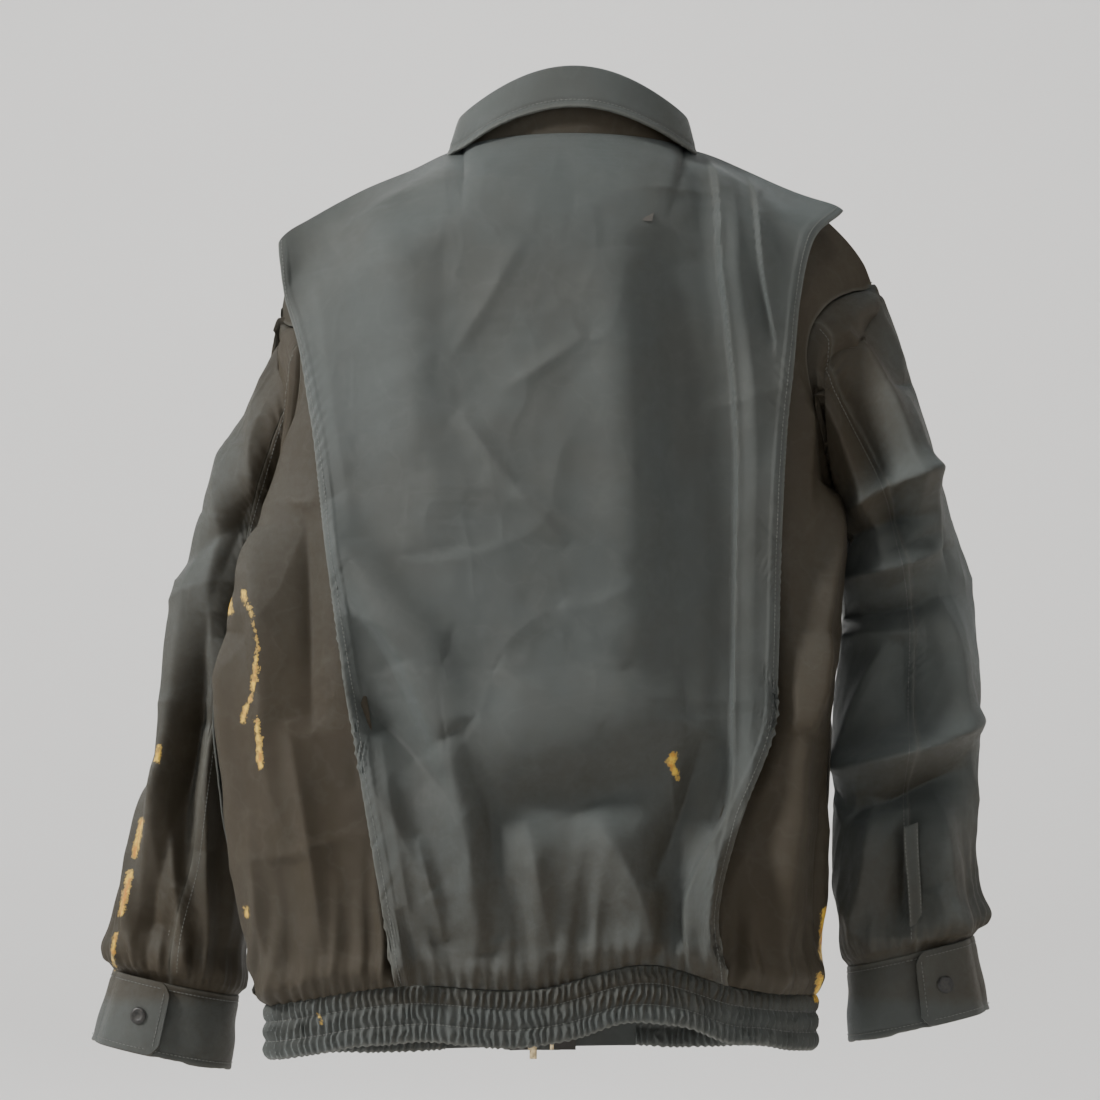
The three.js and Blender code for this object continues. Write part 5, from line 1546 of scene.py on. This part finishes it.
# %% The changeable cloth
def changeable():
    """Two-tone cloth: green-grey where shade is 0 and warm brown where it is 1, so the painted light
    and shade held in the shade attribute shows as colour. It is flecked by the yarn, paler along
    worn crease lines and rubbed edges, blotched where dirt has settled, with dried paint over it."""
    made, tree, shader = material("Changeable cloth")
    put, maths, blend, noise_of, spread = maker(tree)
    weave, wear, paint = use(tree, WEAVE), use(tree, WEAR), use(tree, PAINT)
    shade, rim = tree.nodes.new("ShaderNodeAttribute"), tree.nodes.new("ShaderNodeAttribute")
    shade.attribute_name, rim.attribute_name = "shade", "rim"
    lean = maths(
        "ADD", shade.outputs["Fac"], maths("MULTIPLY", maths("SUBTRACT", wear["Mottle"], 0.5), 0.35)
    )
    lean = maths("ADD", lean, maths("MULTIPLY", maths("SUBTRACT", weave["Fleck"], 0.5), 0.5))
    # two is the two-tone colour, carrying the painted light and shade of the shade attribute.
    two = blend(spread(lean, 0.0, 1.0), (0.050, 0.0565, 0.0540, 1), (0.030, 0.0225, 0.0120, 1))
    worn = blend(maths("MULTIPLY", wear["Blotch"], 0.30), two, (0.040, 0.035, 0.026, 1))
    creased = blend(maths("MULTIPLY", wear["Crease"], 0.035), worn, (0.15, 0.155, 0.145, 1))
    edge = spread(rim.outputs["Fac"], 0.0, 0.004, 0.25, 0.0)
    rubbed = blend(edge, creased, (0.15, 0.15, 0.13, 1))
    threads = maths("ADD", 0.86, maths("MULTIPLY", weave["Height"], 0.22))
    grain = tree.nodes.new("ShaderNodeCombineColor")
    for k in range(3):
        tree.links.new(threads, grain.inputs[k])
    lit = blend(1.0, rubbed, grain.outputs[0], "MULTIPLY")
    put(shader.inputs["Base Color"], blend(paint["Mask"], lit, paint["Colour"]))
    rough = maths("ADD", 0.50, maths("MULTIPLY", wear["Mottle"], 0.22))
    put(shader.inputs["Roughness"], maths("SUBTRACT", rough, maths("MULTIPLY", paint["Mask"], 0.2)))
    put(shader.inputs["Sheen Weight"], spread(lean, 0.0, 0.8, 0.16, 0.015))
    shader.inputs["Sheen Roughness"].default_value = 0.45
    shader.inputs["Sheen Tint"].default_value = (0.62, 0.72, 0.76, 1)
    shader.inputs["Specular IOR Level"].default_value = 0.30
    tall = maths("ADD", maths("MULTIPLY", weave["Height"], 0.35), maths("MULTIPLY", wear["Mottle"], 0.55))
    tall = maths("ADD", tall, maths("MULTIPLY", paint["Height"], 1.6))
    bumped(tree, shader, tall, 0.00022)
    return made


def plain_cloth(name, colour, pitch, rough, bump):
    """A plain woven cloth of one colour: lining, tape or elastic."""
    made, tree, shader = material(name)
    put, maths, blend, noise_of, spread = maker(tree)
    weave, wear = use(tree, WEAVE, Pitch=pitch), use(tree, WEAR)
    dark = tuple(c * 0.55 for c in colour[:3]) + (1,)
    lean = maths("ADD", maths("MULTIPLY", weave["Height"], 0.5), maths("MULTIPLY", wear["Mottle"], 0.5))
    put(shader.inputs["Base Color"], blend(lean, dark, colour))
    put(shader.inputs["Roughness"], maths("ADD", rough, maths("MULTIPLY", wear["Mottle"], 0.15)))
    shader.inputs["Sheen Weight"].default_value = 0.2
    bumped(tree, shader, weave["Height"], bump)
    return made


def thread():
    """Sewing thread: a little paler than the cloth, mottled along its length."""
    made, tree, shader = material("Thread")
    put, maths, blend, noise_of, spread = maker(tree)
    wear = use(tree, WEAR)
    put(
        shader.inputs["Base Color"],
        blend(wear["Mottle"], (0.055, 0.055, 0.05, 1), (0.15, 0.155, 0.145, 1))
    )
    put(shader.inputs["Roughness"], maths("ADD", 0.45, maths("MULTIPLY", wear["Mottle"], 0.2)))
    return made


def worn_metal(name, bright, dull, rough, metallic=1.0):
    """Metal or enamel with scratches, and a dull film in blotches."""
    made, tree, shader = material(name)
    put, maths, blend, noise_of, spread = maker(tree)
    where = tree.nodes.new("ShaderNodeTexCoord").outputs["Object"]
    film = spread(noise_of(where, 420.0, 4.0, 0.65), 0.4, 0.62)
    fine = noise_of(where, 2600.0, 3.0, 0.7)
    put(shader.inputs["Base Color"], blend(film, bright, dull))
    shader.inputs["Metallic"].default_value = metallic
    put(
        shader.inputs["Roughness"],
        maths("ADD", rough, maths("ADD", maths("MULTIPLY", film, 0.18), maths("MULTIPLY", fine, 0.12)))
    )
    bumped(tree, shader, fine, 0.00004)
    return made


finishes = {
    "cloth": (changeable(), "cloth"),
    "lining": (plain_cloth("Lining", (0.052, 0.045, 0.036, 1), 0.0004, 0.5, 0.00008), "lining"),
    "tape": (plain_cloth("Tape", (0.045, 0.04, 0.034, 1), 0.0007, 0.7, 0.0002), "tape"),
    "elastic": (plain_cloth("Elastic", (0.12, 0.11, 0.095, 1), 0.0011, 0.7, 0.0003), "elastic"),
    "thread": (thread(), "cloth"),
    "brass": (worn_metal("Brass", (0.62, 0.50, 0.30, 1), (0.30, 0.24, 0.15, 1), 0.26), "metal"),
    "cap": (
        worn_metal("Black enamel", (0.012, 0.012, 0.012, 1), (0.03, 0.028, 0.025, 1), 0.28, 0.3), "cap"
    ),
}
for made in shown.values():
    finish, slot_name = finishes[made["finish"]]
    made.data.materials.append(finish)
    body, nodes = replaced[made.name]
    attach(made, body)
    if nodes:
        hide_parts(*nodes)
print(
    "dressed:", len(shown), "pieces; triangles:",
    sum(len(p.vertices) - 2 for o in shown.values() for p in o.data.polygons)
)

# %% [markdown]
# ## What the cloth is cut from
# Each panel of cloth has a UV map in metres, so its extent is the flat size that it would be cut
# to. The UV map of each is read here.

# %% Reading the sheets
HELD = {
    "hung": ("back_panel", "side_back", "front_", "sleeve_", "neck_facing", "zip_tape", "slit_strip"),
    "gathered": ("hem_band", "hem_elastic"),
}


def declare(name, held):
    """Reads the UV map of a piece of cloth. Its flat size is the length and width of its own UV
    map, in metres."""
    mesh = shown[name].data
    place = np.empty(2 * len(mesh.loops), np.float32)
    mesh.uv_layers["Cloth"].data.foreach_get("uv", place)


for name in sorted(shown):
    if shown[name]["finish"] in ("cloth", "lining", "tape", "elastic"):
        held = [key for key, starts in HELD.items() if name.startswith(starts)]
        declare(name, held[0] if held else "folded")

# %% [markdown]
# ## Stage, light and camera
# The jacket hangs in the air in a pale room: a round floor that curves up into a wall, far enough
# off that the camera can look from anywhere. A large soft lamp stands to the upper left of the
# back, and weaker ones fill the shade.

# %% Stage
def stage_floor():
    """A round floor 1.05 m under the hang point, curving up into a wall through a quarter circle."""
    floor, bend, reach, top = -1.05, 1.0, 4.4, 3.2
    quarter = np.linspace(0, np.pi / 2, 13)
    r = np.concatenate([[0.001, 1.0, 2.2], reach - bend + bend * np.sin(quarter), [reach]])
    z = np.concatenate([[floor] * 3, floor + bend - bend * np.cos(quarter), [top]])
    turn = np.arange(96) * 2 * np.pi / 96
    points = np.stack([r[:, None] * np.cos(turn), r[:, None] * np.sin(turn), z[:, None] + 0 * turn], -1)
    k = np.arange(len(r) * 96).reshape(len(r), 96)
    faces = np.stack(
        [k[:-1], k[1:], np.roll(k, -1, 1)[1:], np.roll(k, -1, 1)[:-1]], -1
    ).reshape(-1, 4).tolist()
    faces.append(k[0].tolist())
    mesh = bpy.data.meshes.new("Stage")
    mesh.from_pydata(points.reshape(-1, 3).tolist(), [], faces)
    mesh.polygons.foreach_set("use_smooth", [True] * len(mesh.polygons))
    made = bpy.data.objects.new("Stage", mesh)
    bpy.context.scene.collection.objects.link(made)
    pale, tree, shader = material("Pale plaster")
    put, maths, blend, noise_of, spread = maker(tree)
    where = tree.nodes.new("ShaderNodeTexCoord").outputs["Object"]
    put(
        shader.inputs["Base Color"],
        blend(noise_of(where, 3.0), (0.80, 0.795, 0.785, 1), (0.83, 0.825, 0.815, 1))
    )
    shader.inputs["Roughness"].default_value = 0.9
    made.data.materials.append(pale)
    return made


def lamp(name, place, target, size, power, colour):
    """A square area lamp at place, aimed at target."""
    data = bpy.data.lights.new(name, "AREA")
    data.shape, data.size, data.energy, data.color = "SQUARE", size, power, colour
    made = bpy.data.objects.new(name, data)
    bpy.context.scene.collection.objects.link(made)
    made.location = place
    aim = np.array(target, float) - np.array(place, float)
    flat_ = math.hypot(aim[0], aim[1])
    made.rotation_euler = (math.atan2(flat_, -aim[2]), 0, math.atan2(aim[1], aim[0]) - math.pi / 2)
    return made


stage_floor()
middle = (0.03, 0.0, -0.35)
lamp("Key", (2.5, 1.15, 1.6), middle, 0.55, 175, (1.0, 0.99, 0.97))
lamp("Top", (-0.5, 0.8, 2.6), middle, 0.7, 22, (1.0, 0.99, 0.97))
lamp("Fill", (-2.2, 2.4, 0.4), middle, 1.8, 10, (1.0, 0.97, 0.93))
lamp("Front", (0.4, -2.8, 1.1), middle, 1.8, 55, (1.0, 0.98, 0.96))
lamp("Wall", (0.2, -2.0, 2.0), (0.0, -4.2, -0.2), 1.6, 36, (1.0, 0.99, 0.98))
world = bpy.data.worlds.new("Room")
bpy.context.scene.world = world
world.use_nodes = True
world.node_tree.nodes["Background"].inputs["Color"].default_value = (0.80, 0.83, 0.88, 1)
world.node_tree.nodes["Background"].inputs["Strength"].default_value = 0.2

camera = bpy.data.objects.new("Camera", bpy.data.cameras.new("Camera"))
bpy.context.scene.collection.objects.link(camera)
camera.data.lens = 105
camera.location = (0.019, 2.58, -0.564)
camera.rotation_euler = (math.pi / 2 + math.radians(5.18), 0, math.pi)
bpy.context.scene.camera = camera
print("camera at", tuple(round(v, 3) for v in camera.location))
